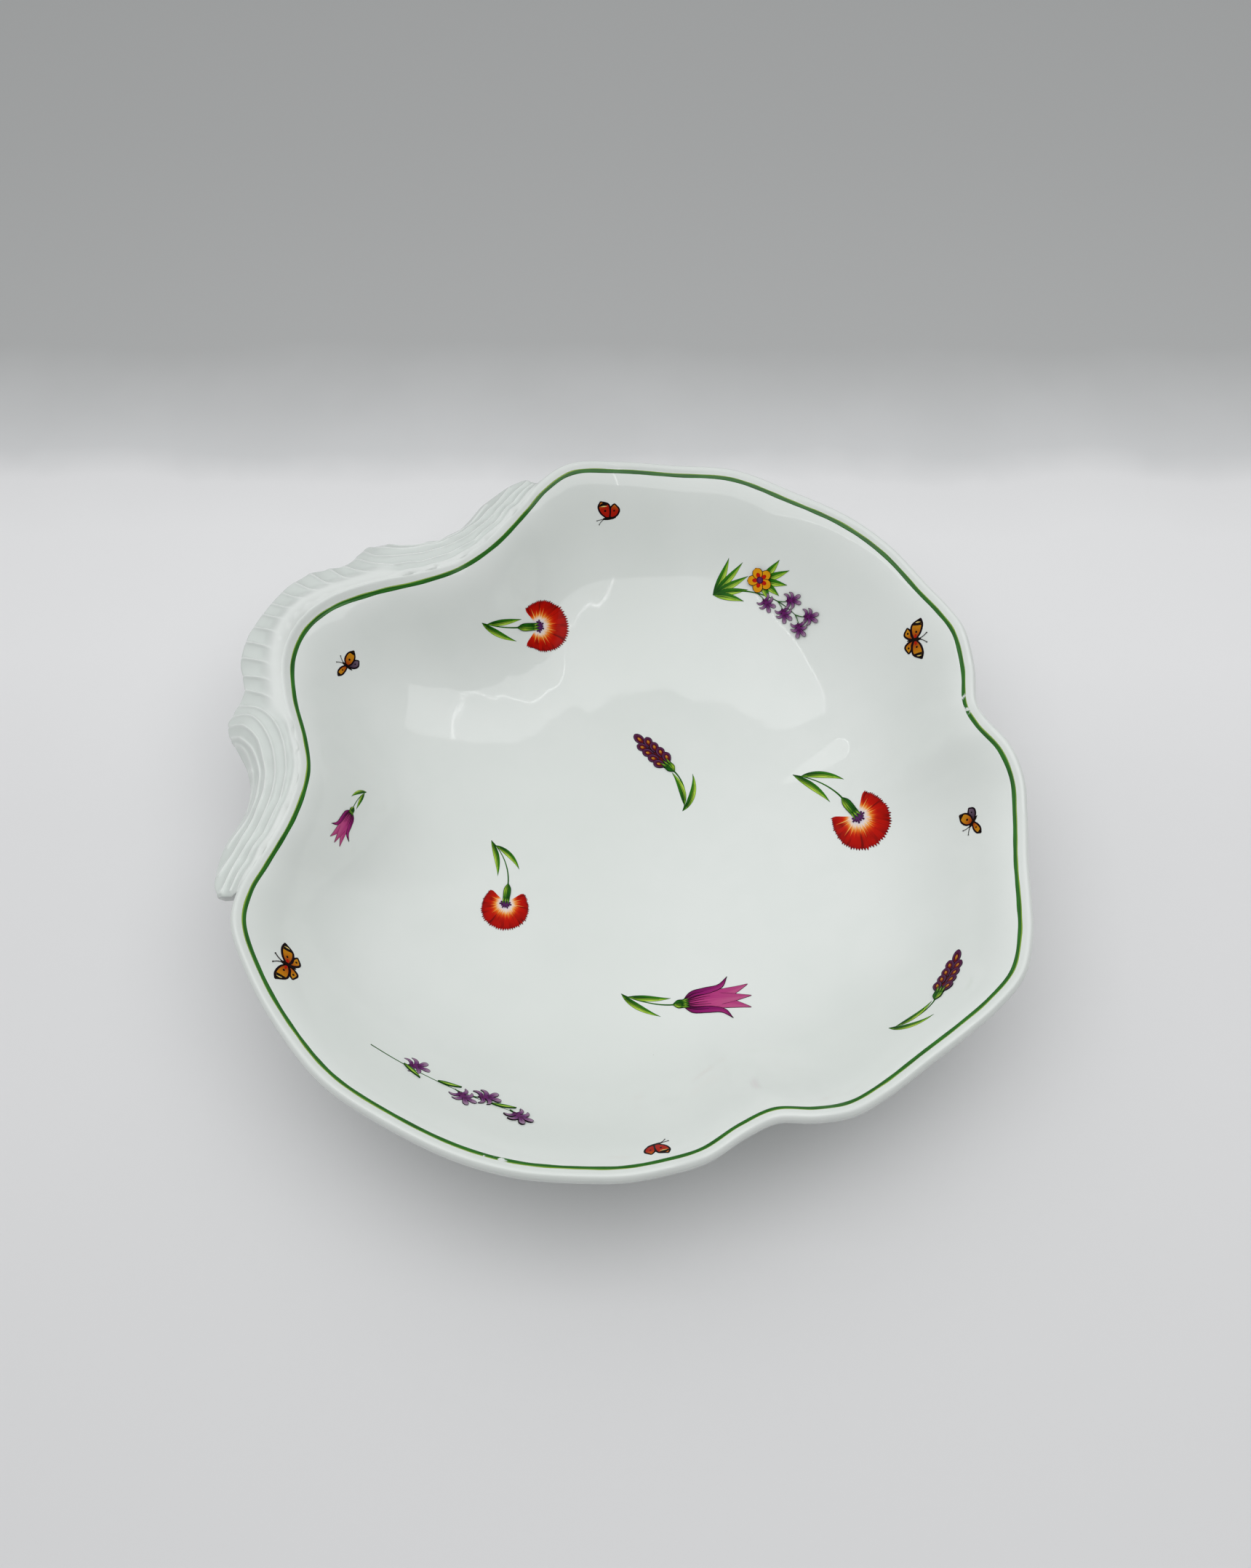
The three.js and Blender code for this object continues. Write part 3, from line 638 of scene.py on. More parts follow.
def thin_plate(samples, smoothing):
    """Smooth height field through x, y, z samples."""
    samples = np.array(samples, float)
    centres, values = samples[:, :2], samples[:, 2]

    def kernel(a, b):
        squared = ((a[:, None] - b[None]) ** 2).sum(-1) + 1e-9
        return 0.5 * squared * np.log(squared)

    count = len(centres)
    plane = np.column_stack([np.ones(count), centres])
    system = np.zeros((count + 3, count + 3))
    system[:count, :count] = kernel(centres, centres) + smoothing * np.eye(count)
    system[:count, count:] = plane
    system[count:, :count] = plane.T
    weights = np.linalg.solve(system, np.concatenate([values, np.zeros(3)]))

    def height(points):
        return kernel(points, centres) @ weights[:count] + weights[count] + points @ weights[count + 1 :]

    return height


def with_mirror(samples):
    return list(samples) + [(-x, y, z) for x, y, z in samples if abs(x) > 1e-6]


def distance_to(points, curve):
    dense = evenly(curve, 0.2)[:, :2]
    best = np.full(len(points), np.inf)
    for chunk in np.array_split(dense, max(1, len(dense) // 100)):
        gap = ((points[:, None] - chunk[None]) ** 2).sum(-1).min(1)
        best = np.minimum(best, gap)
    return np.sqrt(best)


ROOT_OUT = 2.5
HANDLE_ROWS = 110
HANDLE_COLUMNS = 1000
FLUTE_SHARE = 0.11
CREST_DROP = 0.42
CREST_WIDTH = 0.5
FLUTE_BULGE = 0.55


def build_handle():
    handle_arcs = np.linspace(WING_LENGTH, -WING_LENGTH, HANDLE_COLUMNS)
    points, out = stations_at(handle_arcs)
    rise = crest_lift(points)
    root = rim_points(points, out, ROOT_OUT, 1.7 + rise * 0.75)
    edge = at_shares(edge_curve, 0.5 + handle_arcs / WING_LENGTH / 2)
    edge[:, 2] += RIM_HEIGHT

    samples = [p for ridge in RIDGES for p in ridge]
    samples += [(x, y, z + 0.6) for x, y, z in HALF_HANDLE_EDGE]
    for by, up in ((ROOT_OUT, -0.1), (ROOT_OUT - 0.8, -0.7)):
        some, some_out = stations_at(np.linspace(0, WING_LENGTH, 24))
        near = rim_points(some, some_out, by, 1.7 + up + crest_lift(some) * 0.75)
        samples += [(x, y, z - RIM_HEIGHT) for x, y, z in near]
    field = thin_plate(with_mirror(samples), 0.4)

    across = np.linspace(0, 1, HANDLE_ROWS)
    flat = root[None, :, :2] * (1 - across[:, None, None]) + edge[None, :, :2] * across[:, None, None]
    xy = flat.reshape(-1, 2)
    height = RIM_HEIGHT + field(xy)
    folded = np.column_stack([np.abs(xy[:, 0]), xy[:, 1]])
    crests = [centripetal(ridge) for ridge in RIDGES]
    crests.append(centripetal([(-x, y, z) for x, y, z in RIDGES[0]]))
    gaps = np.sort(np.stack([distance_to(folded, crest) for crest in crests]), axis=0)[:2]
    near, far = gaps
    depth = 4 * FLUTE_SHARE * near * far / np.maximum(near + far, 1e-6)
    crest = np.exp(-((near / CREST_WIDTH) ** 2))
    depth = np.minimum(depth, 0.9) + CREST_DROP * (1 - crest)
    line_gap = distance_to(xy, np.column_stack([points[:, 0], points[:, 1], 0 * points[:, 0]]))
    hump = smoothstep(xy[:, 1], 112, 122)
    fade = smoothstep(line_gap, 3.8 + 2.4 * hump, 5.6 + 6.0 * hump)
    depth = (depth * fade).reshape(HANDLE_ROWS, -1)
    crest = (crest * fade).reshape(HANDLE_ROWS, -1)
    flute = fade.reshape(HANDLE_ROWS, -1) - crest
    height = height.reshape(HANDLE_ROWS, -1) - depth

    t = np.clip((np.abs(handle_arcs) - (WING_LENGTH - 2.5)) / 2.5, 0, 1)
    rounding = 1 - np.sqrt(np.maximum(1 - t**2, 0))
    height -= 1.5 * rounding * smoothstep(across, 0.1, 0.4)[:, None]
    rows = [np.column_stack([flat[i], height[i]]) for i in range(HANDLE_ROWS)]

    # The flutes run over the outer edge, which bulges out between the crests.
    outward = np.column_stack([edge[:, :2] - root[:, :2]])
    outward /= np.linalg.norm(outward, axis=1)[:, None]
    for i, row in enumerate(rows):
        push = FLUTE_BULGE * depth[i] * smoothstep(across[i], 0.8, 1.0)
        row[:, :2] += outward * push[:, None]
    lip = rows[-1].copy()
    for by, down in ((0.35, 0.35), (0.5, 1.0), (0.4, 1.8), (0.0, 2.5), (-0.8, 3.0), (-2.0, 3.2)):
        row = lip.copy()
        row[:, :2] += outward * by
        row[:, 2] -= down * (1 - 0.3 * rounding)
        rows.append(row)
    last = rows[-1]
    hidden = rim_points(points, out, -1.6, -8.0)
    for share in np.linspace(0, 1, 14)[1:]:
        row = last * (1 - share) + hidden * share
        row[:, 2] += 2.0 * math.sin(math.pi * share)
        rows.append(row)
    columns = len(handle_arcs)
    stacked = np.vstack(rows)
    faces = grid_faces(len(rows), columns, wrap_rows=True)
    caps = []
    for column in (0, columns - 1):
        ring = [r * columns + column for r in range(len(rows))]
        middle = stacked[ring].mean(0)
        caps.append(middle)
        hub = len(stacked) + len(caps) - 1
        for a, b in zip(ring, ring[1:] + ring[:1]):
            faces.append([a, b, hub] if column else [b, a, hub])
    obj = mesh_object("shell_handle_look", to_frame(np.vstack([stacked, caps])), faces, [GLAZE])
    # Painted shade and pooled glaze: how far each point lies in a flute between the crests; the glaze is
    # tinted darker there.
    pooled_glaze_and_shade = np.zeros(len(obj.data.vertices), np.float32)
    pooled_glaze_and_shade[: flute.size] = flute.ravel()
    pooled_glaze_and_shade[flute.size : flute.size + 4 * columns] = np.tile(flute[-1], 4)
    obj.data.attributes.new("pooled_glaze_and_shade", "FLOAT", "POINT").data.foreach_set("value", pooled_glaze_and_shade)
    face_outwards(obj)
    return obj


handle = build_handle()
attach(handle, "root")
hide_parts("shell_handle")

# ---------- Painting on the glaze ----------


def store_strokes(obj, strokes):
    """Each point's place along its brush stroke, place across it, and the stroke's number."""
    attribute = obj.data.attributes.new("stroke", "FLOAT_VECTOR", "POINT")
    attribute.data.foreach_set("vector", np.array(strokes, np.float32).ravel())


def drop_on_glaze(point, direction):
    hit = glaze_tree.ray_cast(Vector(point), Vector(direction))
    if hit[0] is None:
        raise RuntimeError(f"no glaze under {point}")
    return hit[0], hit[1]


STROKE_STEP = 0.4


class Sheet:
    """Collects the painted strokes of one transfer as thin closed solids on the glaze."""

    def __init__(self, x, y, turn, size):
        start = Vector(to_frame([x, y, 150])[0])
        self.anchor, facing = drop_on_glaze(start, (0, 0, -1))
        self.facing = facing if facing.z > 0 else -facing
        right = Vector((1, 0, 0))
        right = (right - self.facing * right.dot(self.facing)).normalized()
        self.right = Matrix.Rotation(math.radians(turn - 90), 3, self.facing) @ right
        self.ahead = self.facing.cross(self.right)
        self.size = size
        self.points, self.faces, self.strokes, self.slots, self.paints = [], [], [], [], []
        self.layer = 0
        self.count = 0

    def slot(self, paint_name):
        if paint_name not in self.paints:
            self.paints.append(paint_name)
        return self.paints.index(paint_name)

    def stroke(self, paint_name, spine, across=5, outline=0.0, layer=None):
        """One brush stroke along spine: x, y and half width at each of its points."""
        if outline:
            wider = [(x, y, w + outline) for x, y, w in spine]
            first, last = np.array(spine[0][:2]), np.array(spine[-1][:2])
            back = first - np.array(spine[1][:2])
            on = last - np.array(spine[-2][:2])
            start = first + back / np.linalg.norm(back) * outline * 0.8
            end = last + on / np.linalg.norm(on) * outline * 0.8
            wider = [(*start, outline * 0.6)] + wider + [(*end, outline * 0.6)]
            self.stroke("outline", wider, across, layer=layer)
        curve = evenly(centripetal(spine, per_span=16), STROKE_STEP / self.size, least=6)
        along = np.gradient(curve[:, :2], axis=0)
        along /= np.maximum(np.linalg.norm(along, axis=1)[:, None], 1e-9)
        sideways = np.column_stack([along[:, 1], -along[:, 0]])
        width = np.maximum(curve[:, 2:], 0.03)
        self.lay(paint_name, curve[:, :2] - sideways * width, curve[:, :2] + sideways * width, across, layer)

    def petal(self, paint_name, left, right, across=9, line=0.11):
        """A petal between its left and right edges, each with a drawn outline."""
        edges = [centripetal([(x, y, 0) for x, y in side], per_span=16) for side in (left, right)]
        count = max(8, int(lengths(edges[0])[-1] * self.size / STROKE_STEP))
        shares = np.linspace(0, 1, count)
        left_edge, right_edge = (at_shares(edge, shares)[:, :2] for edge in edges)
        self.lay(paint_name, left_edge, right_edge, across)
        if line:
            for side in (left, right):
                widths = [0.7] + [1] * (len(side) - 2) + [0.7]
                taper = [(x, y, line * width) for (x, y), width in zip(side, widths)]
                self.stroke("outline", taper, across=3)

    def lay(self, paint_name, left, right, across, layer=None):
        """Presses the sheet of enamel between two edges onto the glaze."""
        if layer is None:
            self.layer += 1
            layer = self.layer
        self.count += 1
        start = len(self.points)
        rows = len(left)
        height = (0.03 + 0.007 * layer) * 0.001
        shares = np.linspace(0, 1, across)
        found = []
        for a, b in zip(left, right):
            for share in shares:
                x, y = (a + (b - a) * share) * self.size
                above = self.anchor + self.right * (x * 0.001) + self.ahead * (y * 0.001) + self.facing * 0.03
                found.append(drop_on_glaze(above, -self.facing)[0])
        spots = [(i / (rows - 1), 2 * share - 1, self.count) for i in range(rows) for share in shares]
        for up in (height, -0.00004):
            self.points += [point + self.facing * up for point in found]
            self.strokes += spots
        quads = np.array(grid_faces(rows, across)) + start
        self.faces += quads.tolist() + (quads[:, ::-1] + rows * across).tolist()
        top = np.arange(rows * across).reshape(rows, across) + start
        ring_top = np.concatenate([top[0], top[1:, -1], top[-1, -2::-1], top[-2:0:-1, 0]])
        ring_low = ring_top + rows * across
        for a, b, c, d in zip(ring_top, np.roll(ring_top, -1), np.roll(ring_low, -1), ring_low):
            self.faces.append([int(b), int(a), int(d), int(c)])
        self.slots += [self.slot(paint_name)] * (len(self.faces) - len(self.slots))

    def dot(self, paint_name, x, y, radius, outline=0.0, stretch=1.0, angle=90.0):
        """A round or oval spot."""
        a = math.radians(angle)
        dx, dy = math.cos(a) * radius * stretch, math.sin(a) * radius * stretch
        spine = [
            (x - dx, y - dy, 0.1 * radius), (x - dx * 0.75, y - dy * 0.75, 0.68 * radius),
            (x, y, radius), (x + dx * 0.75, y + dy * 0.75, 0.68 * radius), (x + dx, y + dy, 0.1 * radius),
        ]
        self.stroke(paint_name, spine, outline=outline)

    def object(self, name):
        used = [PAINTS[key] for key in self.paints]
        obj = mesh_object(name, [tuple(p) for p in self.points], self.faces, used, smooth=False)
        obj.data.polygons.foreach_set("material_index", self.slots)
        store_strokes(obj, self.strokes)
        return obj


def polar(x, y, radius, angle):
    """A point at radius and angle from (x, y); angle 0 is straight ahead, positive to the right."""
    a = math.radians(angle)
    return x + radius * math.sin(a), y + radius * math.cos(a)


def path(x, y, heading, length, bend, width, leafy=False):
    """An arc from x, y: it starts towards heading and turns by bend; a leaf swells, a stem thins."""
    steps = 8
    spine = []
    for i in range(steps + 1):
        share = i / steps
        swell = math.sin(math.pi * share**0.8) if leafy else 1 - 0.55 * share
        spine.append((x, y, max(0.03, width * swell)))
        x, y = polar(x, y, length / steps, heading + bend * (share + 0.5 / steps))
    return spine


def stem(s, x, y, heading, length, bend, width=0.3):
    spine = path(x, y, heading, length, bend, width)
    s.stroke("stem", spine, across=3)
    return spine


def leaf(s, x, y, heading, length, bend, width=1.2, veins=3):
    """A slim pointed leaf with fine veins that follow its bend."""
    s.stroke("leaf", path(x, y, heading, length, bend, width, leafy=True), across=7)
    for k in range(veins):
        aside = (2 * (k + 0.5) / veins - 1) * 0.5 * width
        start = polar(*polar(x, y, 0.14 * length, heading), aside, heading + 90)
        s.stroke("vein", path(*start, heading + 0.16 * bend, 0.6 * length, 0.6 * bend, 0.1), across=3)


def sprig(s, stem_length, lean, leaf_length=16.0, leaf_width=1.15):
    """A stem whose foot leans aside under the bloom, with a leaf up either side from near the foot."""
    spine = stem(s, 0, -1, 180, stem_length, lean)
    for side, start, share in ((1, 8, 1.0), (-1, 7, 0.9)):
        x, y, _ = spine[start]
        leaf(s, x, y, lean + side * 20, leaf_length * share, -0.7 * lean - side * 8, leaf_width)


def carnation_bloom(s, rng, x, y, half_spread=126.0):
    """A toothed fan of fine rays round the stamens, open towards the stem."""
    rays = 56
    base = s.layer + 1
    for i in range(rays):
        angle = half_spread * (2 * i / (rays - 1) - 1)
        reach = 8.3 + 3.2 * smoothstep(-abs(angle), -115, -15)
        tip = reach * (1.0 + 0.055 * rng.random())
        bend = 2.0 * (rng.random() - 0.5)
        spine = [
            (*polar(x, y, 0.9, angle), 0.12),
            (*polar(x, y, reach * 0.5, angle + bend), 0.36),
            (*polar(x, y, reach * 0.9, angle), 0.6),
            (*polar(x, y, tip, angle + bend * 0.3), 0.06),
        ]
        s.stroke("carnation", spine, across=3, layer=base + i % 3)
    s.layer = base + 3
    flames = 15
    for i in range(flames):
        angle = (half_spread - 8) * (2 * (i + 0.5 * rng.random()) / flames - 1)
        length = 2.6 + 2.6 * rng.random()
        start = 2.2 + 0.5 * rng.random()
        spine = [
            (*polar(x, y, start, angle), 0.05), (*polar(x, y, start + length * 0.4, angle), 0.13),
            (*polar(x, y, start + length, angle), 0.02),
        ]
        s.stroke("flame", spine, across=3)
    for i in range(9):
        angle = -104 + 26 * i
        reach = 2.0 + 0.45 * (i % 2)
        tip = [(*polar(x, y, reach * 0.6, angle), 0.34), (*polar(x, y, reach, angle), 0.26)]
        s.stroke("stamen", [(x, y - 0.9, 0.16)] + tip, across=3)


def cup(s, length, width, points=3):
    """The green cup under a bloom, with a ring of small points at its mouth."""
    mouth = length - 2
    s.stroke("calyx", [(0, -2, 0.35), (0, -1 + 0.15 * length, width), (0, mouth, width)], across=7)
    for k in range(points):
        x = width * (2 * (k + 0.5) / points - 1)
        s.stroke("calyx", [(x * 0.8, mouth - 0.8, 0.5), (x, mouth + 0.2, 0.42), (x * 1.3, mouth + 2, 0.04)])
        rib = [(x * 0.3, -1, 0.05), (x * 0.7, 0.3 * length, 0.09), (x * 0.7, mouth, 0.05)]
        s.stroke("vein", rib, across=3)


# How long the stem of each flower is, and how far it leans.
SPRIGS = {
    "carnation back": (16, 18), "carnation right": (20, -45), "carnation left": (22, -50),
    "hyacinth middle": (18, 65), "hyacinth front": (19, 75), "bellflower": (19, 36),
}


def draw_carnation(s, rng, variant):
    sprig(s, *SPRIGS["carnation " + variant])
    carnation_bloom(s, rng, 0, 6.5)
    cup(s, 7, 1.35)


def draw_bellflower(s, rng, variant):
    """A bell with five flaring tips: three narrow petals, its body, and a broad petal at each side."""
    sprig(s, *SPRIGS["bellflower"])
    for lean in (-13, 13, 0):
        s.stroke("bell", path(0, 3, lean * 0.2, 21, lean * 1.6, 2.3, leafy=True), outline=0.13)
    s.petal(
        "bell",
        [(-1, 1.5), (-3.4, 5), (-3.2, 10), (-2, 15), (-0.4, 20)],
        [(1, 1.5), (3.4, 5), (3.2, 10), (2, 15), (0.4, 20)],
        line=0.0,
    )
    for side in (-1, 1):
        outer = [(0.8 * side, 1), (4 * side, 4), (5 * side, 9), (5.6 * side, 13.5), (8.5 * side, 17)]
        inner = [(0.6 * side, 1.5), (2 * side, 6), (2.8 * side, 11), (4.6 * side, 15), (8.5 * side, 17)]
        s.petal("bell_dark", *((outer, inner) if side < 0 else (inner, outer)))
    for k in range(8):
        x = k - 3.5
        crease = [(x * 0.5, 2, 0.12), (x * 0.9, 5 + k % 3, 0.09), (x, 8.5 + k % 3, 0.02)]
        s.stroke("outline", crease, across=3)
    cup(s, 3.5, 1.6, points=5)


def draw_hyacinth(s, rng, variant):
    """A spike of equal buds in pairs, closer together towards the longer one at its tip."""
    sprig(s, *SPRIGS["hyacinth " + variant])
    s.stroke("core", [(0, 1, 1.3), (0, 4, 1.9), (0, 9, 1.8), (0, 13, 1.3)], outline=0.15)
    hyacinth_grain(s, 0, 16, 0, 1.3)
    for k in range(4):
        for side in (-1, 1):
            hyacinth_grain(s, side * (1.5 + 0.16 * k), 13 - 3 * k, side * 24)
    cup(s, 4, 1.6)


def hyacinth_grain(s, x, y, angle, stretch=1.0):
    """One bud of the spike, pointing at angle, with a golden drop inside."""
    bud = ((-2, 0.55), (-0.9, 1.2), (0.5, 1.4), (1.5, 0.95), (2, 0.3))
    spine = [(*polar(x, y, at * stretch, angle), w) for at, w in bud]
    s.stroke("floret", spine, across=7, outline=0.2)
    for name, half in (("core", 0.85), ("gold", 0.52)):
        ends = [(*polar(x, y, -1.6 * half * stretch, angle), 0.3 * half)]
        ends += [(*polar(x, y, 0, angle), half), (*polar(x, y, 1.3 * half * stretch, angle), 0.3 * half)]
        s.stroke(name, ends)


VIOLET_PETALS = [
    [(0, 0.6, 0.3), (1.6, 1.0, 0.62), (2.9, 0.2, 0.45), (3.3, -1.1, 0.05)],
    [(0, 2.0, 0.35), (1.7, 2.9, 0.7), (3.2, 2.7, 0.5), (4.0, 1.6, 0.05)],
    [(0.1, 2.8, 0.4), (0.9, 4.5, 0.75), (1.6, 5.9, 0.9), (1.9, 6.8, 0.4)],
]


def violet_head(s, x, y, angle, size=1.0):
    """A floret seen from the side: hooked petals below, two round lobes at its tip."""
    a = math.radians(angle)
    ahead, right = np.array([math.sin(a), math.cos(a)]), np.array([math.cos(a), -math.sin(a)])

    def placed(spine, side):
        middle = np.array([x, y])
        return [(*(middle + (right * px * side + ahead * (py - 3)) * size), w * size) for px, py, w in spine]

    for spine in VIOLET_PETALS:
        for side in (-1, 1):
            s.stroke("violet", placed(spine, side), outline=0.13)
    s.stroke("violet_core", placed([(0, -0.4, 0.25), (0, 1.2, 0.75), (0, 2.8, 0.8), (0, 4.2, 0.3)], 1))
    for side in (-1, 1):
        s.stroke("violet_core", placed([(0, 1, 0.25), (1.0, 1.3, 0.2), (1.9, 0.9, 0.03)], side), across=3)
        s.stroke("violet_core", placed([(0.1, 3, 0.25), (0.8, 4.2, 0.2), (1.3, 5.4, 0.03)], side), across=3)


def floret_branch(s, spine, share, side, length, size):
    """A side stem off a spine with a floret at its end."""
    last = len(spine) - 1
    at = round(share * last)
    x, y, _ = spine[at]
    after, before = spine[min(last, at + 1)], spine[max(0, at - 1)]
    heading = math.degrees(math.atan2(after[0] - before[0], after[1] - before[1]))
    branch = stem(s, x, y, heading + 20 * side, length, 24 * side, 0.18)
    violet_head(s, *branch[-1][:2], heading + 34 * side, size)


def draw_violets(s, rng, variant):
    """A long thin spray with four florets and a few slim leaves in turn along it."""
    spine = stem(s, 0.5, -3, -3, 50, 0, 0.24)
    for share, side in ((0.25, -1), (0.6, 1), (0.7, -1), (1, 1)):
        floret_branch(s, spine, share, side, 5, 1.0)
    for share, side in ((0.3, 1), (0.5, -1), (0.85, -1)):
        leaf(s, *spine[round(share * 8)][:2], 14 * side, 8, 12 * side, 0.7, veins=0)


def draw_bouquet(s, rng, variant):
    """A five-petalled flower among leaves, with a spray of florets beside it."""
    for k in range(5):
        leaf(s, 0, 0, -34 + 16 * k, 17 - 1.5 * abs(k - 1), -14 + 7 * k, 1.4, veins=2)
    spine = stem(s, 0, 0, 8, 35, 62, 0.32)
    flower = (3, 19)
    for k in range(5):
        leaf(s, *flower, -12 + 24 * k, 12 - 1.2 * abs(k - 1), -16 + 8 * k, 1.4, veins=2)
    for share, side in ((0.5, 1), (0.75, 1), (0.75, -1), (1, -1), (1, 1)):
        floret_branch(s, spine, share, side, 6, 0.8)
    for k in range(5):
        way = 72 * k - 12
        s.dot("yellow", *polar(*flower, 2.75, way), 1.8, outline=0.26, stretch=1.12, angle=90 - way)
        s.dot("red", *polar(*flower, 1.95, way), 0.8, stretch=1.3, angle=90 - way)
    s.dot("stamen", *flower, 1.25, outline=0.14)


def wing(s, paint_name, left, right, spots=(), border=0.36):
    """A butterfly's wing between its two edges, with a dark border and spots."""
    s.petal(paint_name, left, right, line=border)
    for x, y, radius in spots:
        s.dot("black", x, y, radius)


def butterfly_body(s, length=5.4, feelers=((-1.7, 5.2), (1.7, 5.2))):
    back = -0.55 * length
    s.stroke("black", [(0, back, 0.1), (0, back * 0.5, 0.5), (0, 0.8, 0.62), (0, 2.2, 0.45), (0, 2.8, 0.15)])
    for x, y in feelers:
        s.stroke("black", [(0.1 * x, 2.4, 0.13), (0.5 * x, 0.5 * y + 1.4, 0.11), (x, y, 0.1)], across=3)
        s.dot("black", x, y, 0.24)


def sided(points, side):
    """Points for the left wing (side -1) or the right wing (side 1)."""
    return [(x * side, *rest) for x, *rest in points]


def spread_butterfly(s):
    for side in (-1, 1):
        hind_left = sided([(0.2, -0.2), (1.6, -1.1), (3.4, -1.4), (4.6, -2.6)], side)
        hind_right = sided([(0.2, -0.6), (0.8, -2.6), (2.2, -4.0), (4.6, -2.6)], side)
        wing(s, "wing", hind_left, hind_right, [(2.6 * side, -2.5, 0.4)])
        front_left = sided([(0.2, 0.9), (2.4, 2.7), (5.2, 3.5), (7.2, 3.0)], side)
        front_right = sided([(0.3, -0.2), (2.6, -1.0), (5.2, -0.6), (7.2, 3.0)], side)
        wing(s, "wing", front_left, front_right, [(2.7 * side, 1.0, 0.42)])
        s.stroke("black", sided([(4.9, 3.3, 0.1), (5.5, 1.6, 0.62), (5.3, -0.3, 0.2)], side))
        s.stroke("black", sided([(5.6, 3.3, 0.3), (6.4, 2.3, 0.75), (7.0, 2.9, 0.3)], side))
        s.stroke("cream", sided([(5.9, 2.9, 0.05), (6.0, 1.9, 0.2), (5.9, 0.9, 0.05)], side), across=3)
        s.stroke("red", sided([(0.4, 0.3, 0.2), (1.4, 0.6, 0.4), (2.0, 0.7, 0.1)], side), across=3)
    butterfly_body(s)


def side_butterfly(s):
    hind_left = [(0, -0.4), (2.0, -0.6), (4.6, -1.2), (6.0, -3.0)]
    hind_right = [(0, -0.8), (0.8, -3.4), (3.2, -4.8), (6.0, -3.0)]
    wing(s, "wing_red", hind_left, hind_right, [(3.0, -2.5, 0.4)])
    front_left = [(0, 0.8), (2.6, 3.4), (5.4, 4.2), (7.6, 3.0)]
    front_right = [(0.2, -0.2), (3.0, -0.8), (6.0, -0.4), (7.6, 3.0)]
    wing(s, "wing_red", front_left, front_right, [(3.4, 1.4, 0.5)])
    s.stroke("black", [(5.6, 4.0, 0.1), (6.2, 2.0, 0.7), (6.2, 0.0, 0.3)])
    s.stroke("cream", [(5.4, 3.2, 0.05), (5.4, 1.8, 0.24), (5.2, 0.4, 0.05)], across=3)
    butterfly_body(s, feelers=((-2.2, 4.6), (-0.4, 5.4)))


def tilted_butterfly(s):
    hind_left = [(0.2, -0.2), (2.2, -0.8), (4.2, -1.4), (5.4, -3.2)]
    hind_right = [(0.2, -0.8), (1.2, -3.2), (3.2, -4.4), (5.4, -3.2)]
    wing(s, "wing_grey", hind_left, hind_right, [(3.1, -2.6, 0.35)])
    low_left = [(0, 0.6), (-2.0, 2.0), (-4.6, 2.4), (-6.4, 1.4)]
    low_right = [(0, -0.2), (-2.2, -0.4), (-4.6, 0.0), (-6.4, 1.4)]
    wing(s, "wing", low_left, low_right, [(-2.8, 0.9, 0.35)])
    s.stroke("black", [(-5.0, 2.3, 0.1), (-5.4, 1.2, 0.5), (-5.2, 0.1, 0.2)])
    high_left = [(0, 0.6), (1.8, 2.6), (4.8, 3.0), (7.4, 1.4)]
    high_right = [(0.2, -0.2), (2.4, -1.2), (5.2, -0.8), (7.4, 1.4)]
    wing(s, "wing", high_left, high_right, [(3.0, 0.8, 0.5)])
    s.stroke("black", [(5.6, 2.7, 0.1), (6.3, 1.1, 0.6), (6.0, -0.4, 0.2)])
    butterfly_body(s)


def draw_butterfly(s, rng, variant):
    {"spread": spread_butterfly, "side": side_butterfly, "tilted": tilted_butterfly}[variant](s)


DRAWINGS = {
    "carnation": draw_carnation,
    "bellflower": draw_bellflower,
    "hyacinth": draw_hyacinth,
    "violets": draw_violets,
    "bouquet": draw_bouquet,
    "butterfly": draw_butterfly,
}

# Name, drawing, its variant, x and y in the outline's frame, the way it points, and its size.
TRANSFERS = [
    ("carnation_back", "carnation", "back", 51, 74.5, -43, 1),
    ("carnation_right", "carnation", "right", 48.7, -57.8, -122, 1.1),
    ("carnation_left", "carnation", "left", -34.7, 30.8, -156, 0.88),
    ("bellflower_front", "bellflower", "", -44.2, -41.4, -55, 1),
    ("bellflower_back", "bellflower", "", -45.5, 83, 180, 0.58),
    ("hyacinth_middle", "hyacinth", "middle", 35.5, 4.6, 73, 1),
    ("hyacinth_front", "hyacinth", "front", -13.3, -115.5, 6, 1),
    ("violets_left", "violets", "", -112, 28.6, -94, 0.95),
    ("bouquet_right", "bouquet", "", 98.6, 21.2, -38, 0.95),
    ("butterfly_back_right", "butterfly", "side", 99.5, 65.5, 140, 0.85),
    ("butterfly_right", "butterfly", "spread", 102.5, -55, -80, 1),
    ("butterfly_handle", "butterfly", "tilted", 0.2, 115, 95, 0.8),
    ("butterfly_front_right", "butterfly", "tilted", 49, -101, 150, 0.85),
    ("butterfly_back_left", "butterfly", "spread", -105, 65.5, 100, 1),
    ("butterfly_front_left", "butterfly", "side", -100.5, -62, -30, 0.8),
]

for number, (name, kind, variant, x, y, turn, size) in enumerate(TRANSFERS):
    sheet = Sheet(x, y, turn, size)
    DRAWINGS[kind](sheet, np.random.default_rng(100 + number), variant)
    drawn = sheet.object(f"{name}_look")
    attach(drawn, "root")
    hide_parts(f"transfer_{name}")

# ---------- Green line ----------


